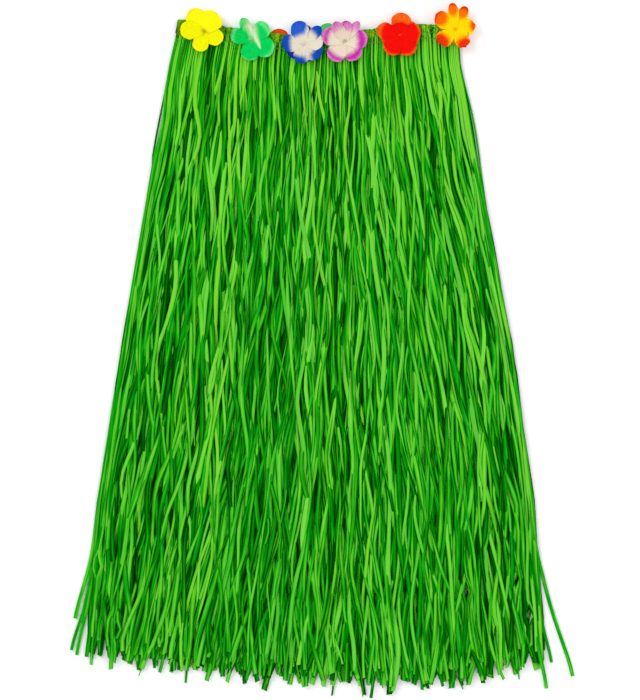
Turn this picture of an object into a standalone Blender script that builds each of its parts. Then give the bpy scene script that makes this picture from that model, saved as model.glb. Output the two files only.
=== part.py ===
"""Hula skirt of green raffia with cloth flowers, laid flat on its back.

Metres, +Z up. The skirt lies on the floor with its waist towards +Y and its front
upwards. Places are given across from the waist's middle, and down from the lowest
point of the waist's top edge. At the end all of it is moved, so that its outline
is centred over the origin.
"""

import math
import random
from bisect import bisect
from typing import NamedTuple

import bmesh
import bpy
from mathutils import Vector

# Driving sizes of the skirt
SKIRT_LENGTH = 0.800  # waist's top edge to hem, at the middle
SEAM_GAP = 0.0003
SEED = 11

# The band, a loop of gathered raffia over elastic, pressed flat
BAND_HEIGHT = 0.0200
BAND_WALL = 0.0030
BAND_SLIT = 0.0006  # between the front and back walls of the loop
BAND_OVERHANG = 0.0035  # past the middle of the outermost lock
GATHERS = 32
GATHER_STEPS = 3  # columns of points to a gather
GATHER_DEPTH = 0.0011
SCALLOP = 0.0022  # height of a gather's bump on the top edge
EDGE_ROUNDING = 0.0006
FULLEST_AT = 0.4  # of the band's height from its top edge
SIDE_FOLD = 0.0050  # width over which the wall rounds down at each side
SIDE_WALL = 0.0012

# The stitched heading that holds the roots of the raffia
HEADING_HEIGHT = 0.0045
HEADING_COVER = 0.00015  # over and under the roots
HEADING_COLUMNS = 36
ROOT_DEPTH = 0.0034  # of each root inside the heading

# A lock of raffia: a folded ribbon with a ridge along its top
LOCK_WIDTH_AT_ROOT = 0.0050
LOCK_WIDTH = 0.0080
NARROWEST_LOCK = 0.75  # share of the full width
FULL_WIDTH_FROM = 0.200
LOCK_THICKNESS_AT_ROOT = 0.00085
LOCK_THICKNESS = 0.0014
RIDGE_OFFSET = 0.22  # of the ridge from the middle, as a share of the width
LOCK_GAP = 0.0005
LOCK_RIPPLE = 0.0009  # height of the waves in a lock
WAVE_LENGTHS = (0.16, 0.34)
SHORTEST_END = -0.013  # of a lock against the hem
LONGEST_END = 0.010

# The stack that the lanes of locks lie in
FLOOR_GAP = 0.00045
ROOT_PITCH = 0.00125  # from lane to lane inside the heading
LOOSE_PITCH = 0.0028  # from lane to lane where the locks lie loose
FRONT_RAISED = 0.0004  # of the front lanes over the back ones
LOOSE_FROM = 0.030
LOOSE_BY = 0.130
LANE_JITTER = 0.14  # of a lock, as a share of its lane's spacing
LEAN = 0.020  # how far a lock drifts across by its end, as a share of the width
LEAN_WAVES = 1.5
FLARE_FROM = 0.66  # down, where the outermost locks stray outwards
BACK_STATIONS = (0.060, 0.130, 0.380, 0.660)
FRONT_STATIONS = (0.060, 0.130, 0.240, 0.370, 0.510, 0.660)

# Cloth flowers
PETAL_STEPS = 6  # points from the tip of a petal to the tip of the next
UNDERPETAL_TURN = math.radians(36)
UNDERPETAL_REACH = 0.86  # of a lower layer of petals, as a share of the upper one's
PETAL_NOTCH = 0.40  # radius between two petals, as a share of the flower's
PETAL_ROUNDNESS = 0.45
PETAL_RINGS = (0.52, 1.0)
FLOWER_WALL = 0.0010
BACK_FLOWER_WALL = 0.0012
PETAL_LAYER_GAP = 0.0008  # under the tacked upper petals, turned against the lower ones
LIFT_MARGIN = 0.004  # of the lifted stretch, round the flowers under the back
LIFT_RAMP = 0.045


class Section(NamedTuple):
    """Middles of the outermost locks, at one station down the laid skirt."""

    down: float
    left: float
    right: float


SECTIONS = (
    Section(down=-0.022, left=-0.173, right=0.168),
    Section(down=0.030, left=-0.185, right=0.171),
    Section(down=0.170, left=-0.208, right=0.195),
    Section(down=0.370, left=-0.242, right=0.233),
    Section(down=0.570, left=-0.273, right=0.261),
    Section(down=0.720, left=-0.286, right=0.272),
    Section(down=0.810, left=-0.291, right=0.277),
)


class Across(NamedTuple):
    """A height at one share of the width, from 0 on the left to 1 on the right."""

    share: float
    height: float


WAIST_RISE = (  # the elastic sags between its corners
    Across(share=0.00, height=0.0205),
    Across(share=0.16, height=0.0110),
    Across(share=0.34, height=0.0015),
    Across(share=0.50, height=-0.0015),
    Across(share=0.68, height=0.0080),
    Across(share=0.86, height=0.0150),
    Across(share=1.00, height=0.0115),
)
RISE_EASING = 0.05  # share of the width over which that table's corners are rounded

HEM_DROP = (  # it hangs lower to the right of the middle
    Across(share=0.00, height=-0.050),
    Across(share=0.20, height=-0.029),
    Across(share=0.45, height=-0.012),
    Across(share=0.65, height=-0.003),
    Across(share=0.80, height=-0.007),
    Across(share=1.00, height=-0.034),
)


class Lane(NamedTuple):
    """One layer of locks in the stack, counted up from the floor."""

    level: int
    locks: int
    lean_phase: float
    left_flare: float  # how far the outermost locks stray out by their ends
    right_flare: float


BACK_LANES = (
    Lane(level=0, locks=46, lean_phase=0.00, left_flare=-0.003, right_flare=0.004),
    Lane(level=1, locks=46, lean_phase=0.45, left_flare=-0.010, right_flare=0.002),
)
FRONT_LANES = (
    Lane(level=2, locks=42, lean_phase=0.20, left_flare=0.000, right_flare=0.010),
    Lane(level=3, locks=42, lean_phase=0.70, left_flare=-0.006, right_flare=0.000),
    Lane(level=4, locks=42, lean_phase=0.95, left_flare=-0.024, right_flare=0.042),
)


class Flower(NamedTuple):
    """A cloth flower tacked to the band."""

    name: str
    across: float
    down: float
    radius: float
    turns: tuple  # direction of each petal from +X, in degrees
    reaches: tuple  # of each petal, as a share of the radius
    cup: float  # how far the petal tips stand up
    raised: float  # over the band, where it lies on its neighbour
    layers: int
    colour: tuple


FRONT_FLOWERS = (
    Flower(
        name="flower_yellow",
        across=-0.1436,
        down=-0.0090,
        radius=0.0275,
        turns=(53, 120, 176, 254, 327),
        reaches=(0.95, 1.05, 1.05, 0.98, 0.98),
        cup=0.0030,
        raised=0.0,
        layers=1,
        colour=(250, 238, 10),
    ),
    Flower(
        name="flower_green",
        across=-0.0847,
        down=0.0012,
        radius=0.0280,
        turns=(48, 118, 164, 266, 323),
        reaches=(0.94, 1.00, 0.96, 0.97, 1.12),
        cup=0.0036,
        raised=0.0,
        layers=1,
        colour=(10, 205, 90),
    ),
    Flower(
        name="flower_blue",
        across=-0.0215,
        down=0.0070,
        radius=0.0275,
        turns=(52, 106, 180, 260, 326),
        reaches=(0.94, 1.00, 1.00, 0.94, 0.98),
        cup=0.0034,
        raised=0.0,
        layers=2,
        colour=(20, 72, 200),
    ),
    Flower(
        name="flower_violet",
        across=0.0292,
        down=0.0036,
        radius=0.0295,
        turns=(8, 84, 162, 234, 303),
        reaches=(0.98, 0.94, 1.03, 1.00, 0.94),
        cup=0.0034,
        raised=0.0006,
        layers=1,
        colour=(200, 70, 190),
    ),
    Flower(
        name="flower_red",
        across=0.0970,
        down=-0.0036,
        radius=0.0280,
        turns=(6, 84, 165, 239, 296),
        reaches=(0.92, 0.98, 1.06, 1.03, 1.00),
        cup=0.0032,
        raised=0.0,
        layers=2,
        colour=(250, 25, 5),
    ),
    Flower(
        name="flower_orange",
        across=0.1650,
        down=-0.0115,
        radius=0.0285,
        turns=(10, 66, 101, 153, 224, 298),
        reaches=(0.92, 1.04, 1.14, 1.05, 0.94, 0.92),
        cup=0.0036,
        raised=0.0,
        layers=2,
        colour=(255, 160, 0),
    ),
)
BACK_FLOWERS = (
    Flower(
        name="back_flower_red",
        across=-0.0515,
        down=0.0140,
        radius=0.0270,
        turns=(18, 90, 162, 234, 306),
        reaches=(1.0, 1.0, 1.0, 1.0, 1.0),
        cup=0.0,
        raised=0.0,
        layers=1,
        colour=(235, 70, 30),
    ),
    Flower(
        name="back_flower_green",
        across=0.0070,
        down=0.0070,
        radius=0.0270,
        turns=(12, 84, 156, 228, 300),
        reaches=(1.0, 1.0, 1.0, 1.0, 1.0),
        cup=0.0,
        raised=0.0,
        layers=1,
        colour=(20, 190, 90),
    ),
)

# Screen colours, from 0 to 255
SCREEN_GAMMA = 2.2
RAFFIA_FRONT = (42, 156, 24)
RAFFIA_BACK = (24, 130, 14)
BAND_GREEN = (104, 150, 30)

# Heights that follow from the sizes above
FRONT_LEVEL = FRONT_LANES[0].level
FRONT_WALL_BASE = BAND_WALL + BAND_SLIT
LIFT = BACK_FLOWER_WALL + SEAM_GAP
LIFT_LEFT = min(flower.across - flower.radius for flower in BACK_FLOWERS) - LIFT_MARGIN
LIFT_RIGHT = max(flower.across + flower.radius for flower in BACK_FLOWERS) + LIFT_MARGIN
HEADING_DOWN = BAND_HEIGHT + SEAM_GAP


def smooth(share):
    """Ease from 0 to 1."""
    share = min(max(share, 0.0), 1.0)
    return share * share * (3 - 2 * share)


def mix(start, end, share):
    """Go straight from start to end."""
    return start + (end - start) * share


def read_table(rows, column, place):
    """Read a column of a table at a place in its first column, straight between rows."""
    places = [row[0] for row in rows]
    after = min(max(bisect(places, place), 1), len(rows) - 1)
    share = (place - places[after - 1]) / (places[after] - places[after - 1])
    return mix(getattr(rows[after - 1], column), getattr(rows[after], column), share)


def waist_rise(share):
    """Height of the band's top edge, with the corners of its table rounded off."""
    places = (share - RISE_EASING, share, share + RISE_EASING)
    return sum(read_table(WAIST_RISE, "height", place) for place in places) / len(places)


def spread(share, down, overhang=0.0):
    """Place across the skirt of a share of its width."""
    left = read_table(SECTIONS, "left", down) - overhang
    right = read_table(SECTIONS, "right", down) + overhang
    return mix(left, right, share)


def lift(x, down):
    """Height by which the skirt rides over the flat flowers under its back."""
    beside = max(LIFT_LEFT - x, x - LIFT_RIGHT, 0.0) / LIFT_RAMP
    below = (down - BACK_STATIONS[0]) / (BACK_STATIONS[1] - BACK_STATIONS[0])
    return LIFT * (1 - smooth(beside)) * (1 - smooth(below))


def looseness(down):
    """From 0 where the locks are bunched in the heading to 1 where they lie loose."""
    return smooth((down - LOOSE_FROM) / (LOOSE_BY - LOOSE_FROM))


def lane_base(level, down):
    """Height of a lane's underside over the floor."""
    pitch = mix(ROOT_PITCH, LOOSE_PITCH, looseness(down))
    raised = FRONT_RAISED if level >= FRONT_LEVEL else 0.0
    return FLOOR_GAP + level * pitch + raised


def laid_point(x, down, height):
    """Point of the laid skirt, at a height over what lies under it."""
    return Vector((x, -down, height + lift(x, down)))


def loft(mesh, rings):
    """Add one closed body through rings of equal numbers of points."""
    rows = [[mesh.verts.new(point) for point in ring] for ring in rings]
    for row, after in zip(rows, rows[1:]):
        for side in range(len(row)):
            other = (side + 1) % len(row)
            mesh.faces.new((row[side], row[other], after[other], after[side]))
    mesh.faces.new(reversed(rows[0]))
    mesh.faces.new(rows[-1])


def face_out(mesh):
    """Turn the faces of closed bodies outwards."""
    bmesh.ops.recalc_face_normals(mesh, faces=mesh.faces)


def colour_of(red, green, blue):
    """Linear colour of a screen colour."""
    return tuple((value / 255) ** SCREEN_GAMMA for value in (red, green, blue)) + (1.0,)


def cloth_material(name, colour, roughness):
    """Matt cloth or raffia."""
    material = bpy.data.materials.new(name)
    material.use_nodes = True
    shader = material.node_tree.nodes["Principled BSDF"]
    shader.inputs["Base Color"].default_value = colour_of(*colour)
    shader.inputs["Roughness"].default_value = roughness
    shader.inputs["Metallic"].default_value = 0.0
    return material


def add_object(name, mesh, collection, colour, roughness=0.7):
    """Turn a bmesh into an object with its own material."""
    data = bpy.data.meshes.new(name)
    mesh.to_mesh(data)
    mesh.free()
    data.materials.append(cloth_material(name, colour, roughness))
    part = bpy.data.objects.new(name, data)
    collection.objects.link(part)
    return part


def gather_bump(column):
    """Roundness of the band at a column of points: 0 between gathers, 1 on top of one."""
    return math.sqrt(abs(math.sin(math.pi * column / GATHER_STEPS)))


def band_ring(column, base, gather_depth):
    """Five points round the band's wall: its plain inside, then its gathered outside."""
    share = column / (GATHERS * GATHER_STEPS)
    bump = gather_bump(column)
    from_side = min(share, 1 - share) * (SECTIONS[0].right - SECTIONS[0].left) / SIDE_FOLD
    fold = math.sqrt(1 - max(1 - from_side, 0.0) ** 2)
    thickness = mix(SIDE_WALL, BAND_WALL - gather_depth * (1 - bump), fold)
    rounding = EDGE_ROUNDING * fold
    rise = waist_rise(share)
    top = -rise - SCALLOP * bump
    bottom = BAND_HEIGHT - rise
    middle = mix(top, bottom, FULLEST_AT)
    profile = (
        (bottom, base),
        (top, base),
        (top, base + thickness - rounding),
        (middle, base + thickness),
        (bottom, base + thickness - rounding),
    )
    return [laid_point(spread(share, down, BAND_OVERHANG), down, height) for down, height in profile]


def build_band(name, base, gather_depth, collection):
    """Make the front or back wall of the gathered loop."""
    mesh = bmesh.new()
    columns = range(GATHERS * GATHER_STEPS + 1)
    loft(mesh, [band_ring(column, base, gather_depth) for column in columns])
    face_out(mesh)
    return add_object(name, mesh, collection, BAND_GREEN)


def heading_ring(share, base, top):
    """Four points round the stitched heading, just under the band."""
    start = HEADING_DOWN - waist_rise(share)
    end = start + HEADING_HEIGHT
    profile = ((start, base), (start, top), (end, top), (end, base))
    return [laid_point(spread(share, down, BAND_OVERHANG), down, height) for down, height in profile]


def lane_shares(lane, chance):
    """Uneven shares of the width for the roots of a lane, its outermost locks at 0 and 1."""
    last = lane.locks - 1
    inner = [(number + chance.uniform(-LANE_JITTER, LANE_JITTER)) / last for number in range(1, last)]
    return [0.0, *inner, 1.0]


def drifted(lane, share, down):
    """Share of the width after the lane has leaned across on its way down."""
    wave = math.sin(math.pi * share) * math.sin(math.tau * (LEAN_WAVES * share + lane.lean_phase))
    return share + LEAN * wave * smooth(down / SKIRT_LENGTH)


class Lock:
    """One lock of raffia, with its own length, width and waves."""

    def __init__(self, lane, share, neighbours, chance):
        self.lane = lane
        self.share = share
        self.neighbours = neighbours
        self.width_share = chance.uniform(NARROWEST_LOCK, 1.0)
        self.ridge = chance.uniform(-RIDGE_OFFSET, RIDGE_OFFSET)
        self.wave_length = chance.uniform(*WAVE_LENGTHS)
        self.wave_start = chance.random()
        drop = read_table(HEM_DROP, "height", share)
        self.length = SKIRT_LENGTH + drop + chance.uniform(SHORTEST_END, LONGEST_END)
        self.root = HEADING_DOWN - waist_rise(share) + HEADING_HEIGHT - ROOT_DEPTH

    def width(self, down):
        """Width at a station."""
        full = mix(LOCK_WIDTH_AT_ROOT, LOCK_WIDTH, smooth(down / FULL_WIDTH_FROM))
        return full * self.width_share

    def middle(self, down):
        """Place across at a station, swaying within the room left by the neighbours."""
        x = spread(drifted(self.lane, self.share, down), down)
        places = [spread(drifted(self.lane, share, down), down) for share in self.neighbours]
        nearest = min(abs(place - x) for place in places)
        widest = mix(LOCK_WIDTH_AT_ROOT, LOCK_WIDTH, smooth(down / FULL_WIDTH_FROM))
        room = max(nearest - widest - LOCK_GAP, 0.0) / 2 * looseness(down)
        wave = math.sin(math.tau * (down / self.wave_length + self.wave_start))
        strayed = max(down - FLARE_FROM, 0.0) / (SKIRT_LENGTH - FLARE_FROM)
        flare = {0.0: self.lane.left_flare, 1.0: self.lane.right_flare}.get(self.share, 0.0)
        return x + room * wave + flare * strayed

    def ring(self, down):
        """Three points round the lock: its flat underside and its ridge."""
        loose = looseness(down)
        wave = math.cos(math.tau * (down / self.wave_length - self.wave_start))
        base = lane_base(self.lane.level, down) + LOCK_RIPPLE * loose * (1 + wave) / 2
        top = base + mix(LOCK_THICKNESS_AT_ROOT, LOCK_THICKNESS, loose)
        half = self.width(down) / 2
        middle = self.middle(down)
        return [
            laid_point(middle - half, down, base),
            laid_point(middle + half, down, base),
            laid_point(middle + self.ridge * half, down, top),
        ]

    def rings(self, stations):
        """Rings from the root to the cut end."""
        return [self.ring(down) for down in (self.root, *stations, self.length)]


def build_locks(name, lanes, stations, collection):
    """Make every lock of some lanes, as bodies that stand apart in one mesh."""
    mesh = bmesh.new()
    for lane in lanes:
        chance = random.Random(SEED + lane.level)
        shares = lane_shares(lane, chance)
        for number, share in enumerate(shares):
            neighbours = shares[max(number - 1, 0) : number] + shares[number + 1 : number + 2]
            loft(mesh, Lock(lane, share, neighbours, chance).rings(stations))
    face_out(mesh)
    locks = add_object(name, mesh, collection, RAFFIA_FRONT)
    locks.hide_render = True
    locks.display_type = "WIRE"
    return locks


def build_fringe(name, lanes, stations, underside, colour, collection, cutters):
    """Make one half of the raffia: its locks, fused at their roots into the heading."""
    top = lane_base(lanes[-1].level, 0.0) + LOCK_THICKNESS_AT_ROOT + HEADING_COVER
    mesh = bmesh.new()
    shares = [column / HEADING_COLUMNS for column in range(HEADING_COLUMNS + 1)]
    loft(mesh, [heading_ring(share, underside, top) for share in shares])
    face_out(mesh)
    fringe = add_object(name, mesh, collection, colour, roughness=0.6)
    union = fringe.modifiers.new("roots", "BOOLEAN")
    union.operation = "UNION"
    union.solver = "EXACT"
    union.object = build_locks(name + "_locks", lanes, stations, cutters)
    return fringe


def petal_outline(flower):
    """Directions round a flower, each with the reach of its petals as a share of the radius."""
    outline = []
    count = len(flower.turns)
    for petal in range(count):
        after = (petal + 1) % count
        turned = (flower.turns[after] - flower.turns[petal]) % 360
        for step in range(PETAL_STEPS):
            share = step / PETAL_STEPS
            fullness = abs(math.cos(math.pi * share)) ** PETAL_ROUNDNESS
            reach = mix(flower.reaches[petal], flower.reaches[after], smooth(share))
            angle = math.radians(flower.turns[petal] + turned * share)
            outline.append((angle, reach * mix(PETAL_NOTCH, 1.0, fullness)))
    return outline


def build_petals(name, flower, height, wall, collection, turn=0.0, size=1.0):
    """Make one layer of petals, cupped up from its stitched centre."""
    mesh = bmesh.new()
    centre = mesh.verts.new((0, 0, 0))
    rows = []
    for ring in PETAL_RINGS:
        row = []
        for angle, outline in petal_outline(flower):
            reach = ring * outline * size
            radius = flower.radius * reach
            rise = flower.cup * reach**2
            row.append(mesh.verts.new((radius * math.cos(angle), radius * math.sin(angle), rise)))
        rows.append(row)
    inner, outer = rows
    for step in range(len(inner)):
        after = (step + 1) % len(inner)
        mesh.faces.new((centre, inner[step], inner[after]))
        mesh.faces.new((inner[step], outer[step], outer[after], inner[after]))
    part = add_object(name, mesh, collection, flower.colour, roughness=0.8)
    part.location = (flower.across, -flower.down, height)
    part.rotation_euler.z = turn
    solidify = part.modifiers.new("cloth", "SOLIDIFY")
    solidify.thickness = wall
    solidify.offset = 1.0
    return part


def build_front_flower(flower, collection):
    """Make a front flower on the band, over its underpetals if it has two layers."""
    band_top = FRONT_WALL_BASE + BAND_WALL + lift(flower.across, flower.down)
    height = band_top + SEAM_GAP + flower.raised
    if flower.layers == 2:
        name = flower.name + "_under"
        build_petals(name, flower, height, FLOWER_WALL, collection, UNDERPETAL_TURN, UNDERPETAL_REACH)
        height += FLOWER_WALL + PETAL_LAYER_GAP
    build_petals(flower.name, flower, height, FLOWER_WALL, collection)


def centre_over_origin(parts):
    """Move everything so that the outline is centred and the underside is on the floor."""
    bpy.context.view_layer.update()
    graph = bpy.context.evaluated_depsgraph_get()
    corners = []
    for part in parts:
        evaluated = part.evaluated_get(graph)
        corners += [evaluated.matrix_world @ Vector(corner) for corner in evaluated.bound_box]
    low = Vector(min(corner[axis] for corner in corners) for axis in range(3))
    high = Vector(max(corner[axis] for corner in corners) for axis in range(3))
    middle = (low + high) / 2
    for thing in bpy.data.objects:
        thing.location -= Vector((middle.x, middle.y, low.z))


def new_collection(name):
    """Add a collection to the scene."""
    collection = bpy.data.collections.new(name)
    bpy.context.scene.collection.children.link(collection)
    return collection


def main():
    """Build the skirt from the floor up."""
    for thing in list(bpy.data.objects):
        bpy.data.objects.remove(thing)
    skirt = new_collection("hula_skirt")
    cutters = new_collection("cutters")
    heading_gap = lane_base(FRONT_LEVEL, 0.0) - HEADING_COVER

    for flower in BACK_FLOWERS:
        build_petals(flower.name, flower, 0.0, BACK_FLOWER_WALL, skirt)
    build_band("waistband_back", 0.0, 0.0, skirt)
    build_fringe("fringe_back", BACK_LANES, BACK_STATIONS, 0.0, RAFFIA_BACK, skirt, cutters)
    build_band("waistband_front", FRONT_WALL_BASE, GATHER_DEPTH, skirt)
    build_fringe("fringe_front", FRONT_LANES, FRONT_STATIONS, heading_gap, RAFFIA_FRONT, skirt, cutters)
    for flower in FRONT_FLOWERS:
        build_front_flower(flower, skirt)
    centre_over_origin(skirt.objects)


main()
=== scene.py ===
"""Looks of the hula skirt: raffia ribbons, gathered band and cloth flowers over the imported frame.

Metres, +Z up, seen from straight above. Places are given across from the waist's
middle and down from the lowest point of the waist's top edge, as in the part's source.
"""

import logging
import math
from dataclasses import dataclass, field
from enum import Enum

import bpy
import numpy as np
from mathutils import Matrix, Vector


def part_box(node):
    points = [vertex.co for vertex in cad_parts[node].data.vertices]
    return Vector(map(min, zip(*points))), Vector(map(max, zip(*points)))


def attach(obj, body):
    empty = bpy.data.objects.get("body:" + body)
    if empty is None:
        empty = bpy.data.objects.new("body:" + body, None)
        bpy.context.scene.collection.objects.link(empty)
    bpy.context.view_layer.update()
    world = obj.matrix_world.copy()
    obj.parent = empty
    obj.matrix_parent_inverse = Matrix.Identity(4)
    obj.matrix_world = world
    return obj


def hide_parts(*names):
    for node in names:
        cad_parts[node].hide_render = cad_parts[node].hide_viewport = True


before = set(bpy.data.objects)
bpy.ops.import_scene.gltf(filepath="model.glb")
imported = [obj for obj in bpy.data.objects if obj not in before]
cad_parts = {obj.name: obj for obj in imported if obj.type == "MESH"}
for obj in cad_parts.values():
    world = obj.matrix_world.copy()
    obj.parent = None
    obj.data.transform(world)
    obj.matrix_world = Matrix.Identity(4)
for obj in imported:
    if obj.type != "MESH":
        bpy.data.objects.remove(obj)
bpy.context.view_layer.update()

BODY = "root"
MILLIMETRE = 0.001
FULL_TURN = 2 * math.pi
ON_BAND = 0.0086  # height of a front flower's underside
ON_FLOOR = 0.0007  # height of a back flower's underside
BACK_RADIUS = 0.0270  # of the two flowers of the back

Colour = tuple[float, float, float]
Values = np.ndarray | float
Span = tuple[float, float]

log = logging.getLogger("hula_skirt")


def smooth(share: Values) -> np.ndarray:
    """Ease from 0 to 1."""
    share = np.clip(share, 0.0, 1.0)
    return share * share * (3 - 2 * share)


def mix(start: Values, end: Values, share: Values) -> np.ndarray:
    """Go straight from start to end."""
    return start + (end - start) * share


def between(span: Span, at: Values) -> np.ndarray:
    """Ease from 0 at the start of a span to 1 at its end."""
    return smooth((at - span[0]) / (span[1] - span[0]))


def read_table(places: tuple, values: tuple, at: Values) -> np.ndarray:
    """Read a table straight between its rows, and straight on past its ends.

    Args:
        places: First column of the table, rising.
        values: Column that is read.
        at: Places where it is read.

    Returns:
        A value for each of those places.
    """
    columns, readings = np.asarray(places), np.asarray(values)
    after = np.clip(np.searchsorted(columns, at, side="right"), 1, len(columns) - 1)
    share = (at - columns[after - 1]) / (columns[after] - columns[after - 1])
    return mix(readings[after - 1], readings[after], share)


def unit(vectors: np.ndarray) -> np.ndarray:
    """Vectors of length 1 in the same directions."""
    return vectors / np.maximum(np.linalg.norm(vectors, axis=-1, keepdims=True), 1e-12)


def screen(red: float, green: float, blue: float) -> tuple[float, float, float, float]:
    """Linear colour of a screen colour given from 0 to 255."""
    shares = [value / 255 for value in (red, green, blue)]
    linear = [share / 12.92 if share <= 0.04045 else ((share + 0.055) / 1.055) ** 2.4 for share in shares]
    return (*linear, 1.0)


class Board:
    """Node board of one material, with its shader at hand."""

    def __init__(self, name: str) -> None:
        self.material = bpy.data.materials.new(name)
        self.material.use_nodes = True
        self.nodes = self.material.node_tree.nodes
        self.links = self.material.node_tree.links
        self.shader = self.nodes["Principled BSDF"]

    def feed(self, socket: bpy.types.NodeSocket, value: object) -> None:
        """Set a socket to a value, or link another socket to it."""
        if isinstance(value, bpy.types.NodeSocket):
            self.links.new(value, socket)
        else:
            socket.default_value = value

    def add(self, kind: str, inputs: dict | None = None, **settings: object) -> bpy.types.Node:
        """Add a node.

        Args:
            kind: Name of the node's type after ShaderNode.
            inputs: Values or sockets for its inputs, by name or number.
            settings: Properties of the node.

        Returns:
            The new node.
        """
        node = self.nodes.new("ShaderNode" + kind)
        for name, value in settings.items():
            setattr(node, name, value)
        for key, value in (inputs or {}).items():
            self.feed(node.inputs[key], value)
        return node

    def maths(self, operation: str, *values: object, clamp: bool = False) -> bpy.types.NodeSocket:
        """Socket with the result of one sum."""
        node = self.add("Math", dict(enumerate(values)), operation=operation, use_clamp=clamp)
        return node.outputs[0]

    def scaled(self, vector: bpy.types.NodeSocket, scale: tuple) -> bpy.types.NodeSocket:
        """Socket with a vector scaled on each axis."""
        return self.add("VectorMath", {0: vector, 1: scale}, operation="MULTIPLY").outputs[0]

    def noise(self, vector: bpy.types.NodeSocket, scale: tuple, detail: float = 2.0) -> bpy.types.NodeSocket:
        """Socket with noise from 0 to 1 about one half, of its own scale on each axis."""
        place = self.scaled(vector, scale)
        return self.add("TexNoise", {"Vector": place, "Scale": 1.0, "Detail": detail}).outputs[0]

    def blend(self, share: object, start: object, end: object) -> bpy.types.NodeSocket:
        """Socket with a colour between two others."""
        return self.add("Mix", {0: share, 6: start, 7: end}, data_type="RGBA").outputs[2]

    def ramp(self, share: bpy.types.NodeSocket, places: tuple, colours: tuple) -> bpy.types.NodeSocket:
        """Socket with a colour read off a row of places, each with its screen colour."""
        node = self.add("ValToRGB", {0: share})
        elements = node.color_ramp.elements
        while len(elements) < len(places):
            elements.new(0.5)
        for element, place, colour in zip(elements, places, colours):
            element.position = place
            element.color = screen(*colour)
        return node.outputs[0]

    def painted(self, name: str) -> bpy.types.Node:
        """Node that reads an attribute off the mesh."""
        return self.add("Attribute", attribute_name=name, attribute_type="GEOMETRY")

    def split(self, vector: bpy.types.NodeSocket) -> list[bpy.types.NodeSocket]:
        """Sockets with the three parts of a vector."""
        return list(self.add("SeparateXYZ", {0: vector}).outputs)

    def dress(self, colour: object, roughness: object, shine: float) -> None:
        """Feed the shader its colour, its roughness and its specular level."""
        for name, value in (("Base Color", colour), ("Roughness", roughness), ("Specular IOR Level", shine)):
            self.feed(self.shader.inputs[name], value)

    def bump(self, height: bpy.types.NodeSocket, depth: float, strength: float = 1.0) -> None:
        """Raise the surface by a height of at most a depth."""
        node = self.add("Bump", {"Height": height, "Distance": depth, "Strength": strength})
        self.links.new(node.outputs[0], self.shader.inputs["Normal"])


@dataclass(frozen=True)
class RaffiaFinish:
    """Flat ribbons of dyed raffia: streaked lengthwise, softly shining, with painted shade where they lie
    deep and lighter streaks that also stand as painted highlights.
    """

    name: str
    tones: tuple = (0.00, 0.18, 0.40, 0.58, 0.74, 1.00)
    dyes: tuple = ((0, 60, 0), (0, 94, 0), (0, 130, 4), (16, 160, 16), (82, 190, 42), (112, 207, 64))
    cool: Colour = (0, 150, 40)
    warm: Colour = (122, 196, 16)
    hue_power: float = 2.8  # how much more the light tones take on the cool or warm dye
    hue_share: float = 0.5
    roughness: float = 0.50
    roughness_range: float = 0.22
    shine: float = 0.07
    shine_tint: Colour = (120, 255, 90)
    streak: float = 0.90  # how far the streaks shift the tone; lighter streaks also stand as painted highlights
    mottle: float = 0.36
    crimp: float = 0.55  # how far the crinkles of the band shift the tone
    streak_scale: tuple = (500.0, 16.0, 1.7)  # across, along, and from one ribbon to the next
    mottle_scale: tuple = (90.0, 34.0, 3.1)
    fibre_scale: tuple = (2400.0, 120.0, 2.3)
    crinkle_scale: tuple = (420.0, 620.0, 2.1)
    relief: float = 0.35 * MILLIMETRE

    def material(self) -> bpy.types.Material:
        """Dress the ribbons by their tone attribute, which carries painted shade and light, and by their hue,
        crimp and fibre attributes.
        """
        board = Board(self.name)
        fibre = board.painted("fibre").outputs["Vector"]
        streaks = board.noise(fibre, self.streak_scale, 3.0)
        mottles = board.noise(fibre, self.mottle_scale)
        fine = board.noise(fibre, self.fibre_scale)
        # The streaks shift the tone as fibre streaks and, where lighter, as painted highlights.
        shifted = board.maths("MULTIPLY_ADD", streaks, self.streak, board.painted("tone").outputs["Fac"])
        shifted = board.maths("MULTIPLY_ADD", mottles, self.mottle, shifted)
        crinkles = board.maths("SUBTRACT", board.noise(fibre, self.crinkle_scale), 0.5)
        crinkles = board.maths("MULTIPLY", crinkles, board.painted("crimp").outputs["Fac"])
        shifted = board.maths("MULTIPLY_ADD", crinkles, 2 * self.crimp, shifted)
        tone = board.maths("SUBTRACT", shifted, (self.streak + self.mottle) / 2, clamp=True)
        dyed = board.ramp(tone, self.tones, self.dyes)
        hue = board.painted("hue").outputs["Fac"]
        strength = board.maths("POWER", tone, self.hue_power)
        strength = board.maths("MULTIPLY", strength, self.hue_share, clamp=True)
        for side, dye in ((-1.0, self.cool), (1.0, self.warm)):
            share = board.maths("MULTIPLY", board.maths("MULTIPLY", hue, side, clamp=True), strength)
            dyed = board.blend(share, dyed, screen(*dye))
        low = self.roughness - self.roughness_range / 2
        board.dress(dyed, board.maths("MULTIPLY_ADD", streaks, self.roughness_range, low), self.shine)
        board.shader.inputs["Specular Tint"].default_value = screen(*self.shine_tint)
        relief = board.maths("MULTIPLY_ADD", fine, 0.4, board.maths("MULTIPLY_ADD", crinkles, 2.0, streaks))
        board.bump(relief, self.relief, 0.8)
        return board.material


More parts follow.
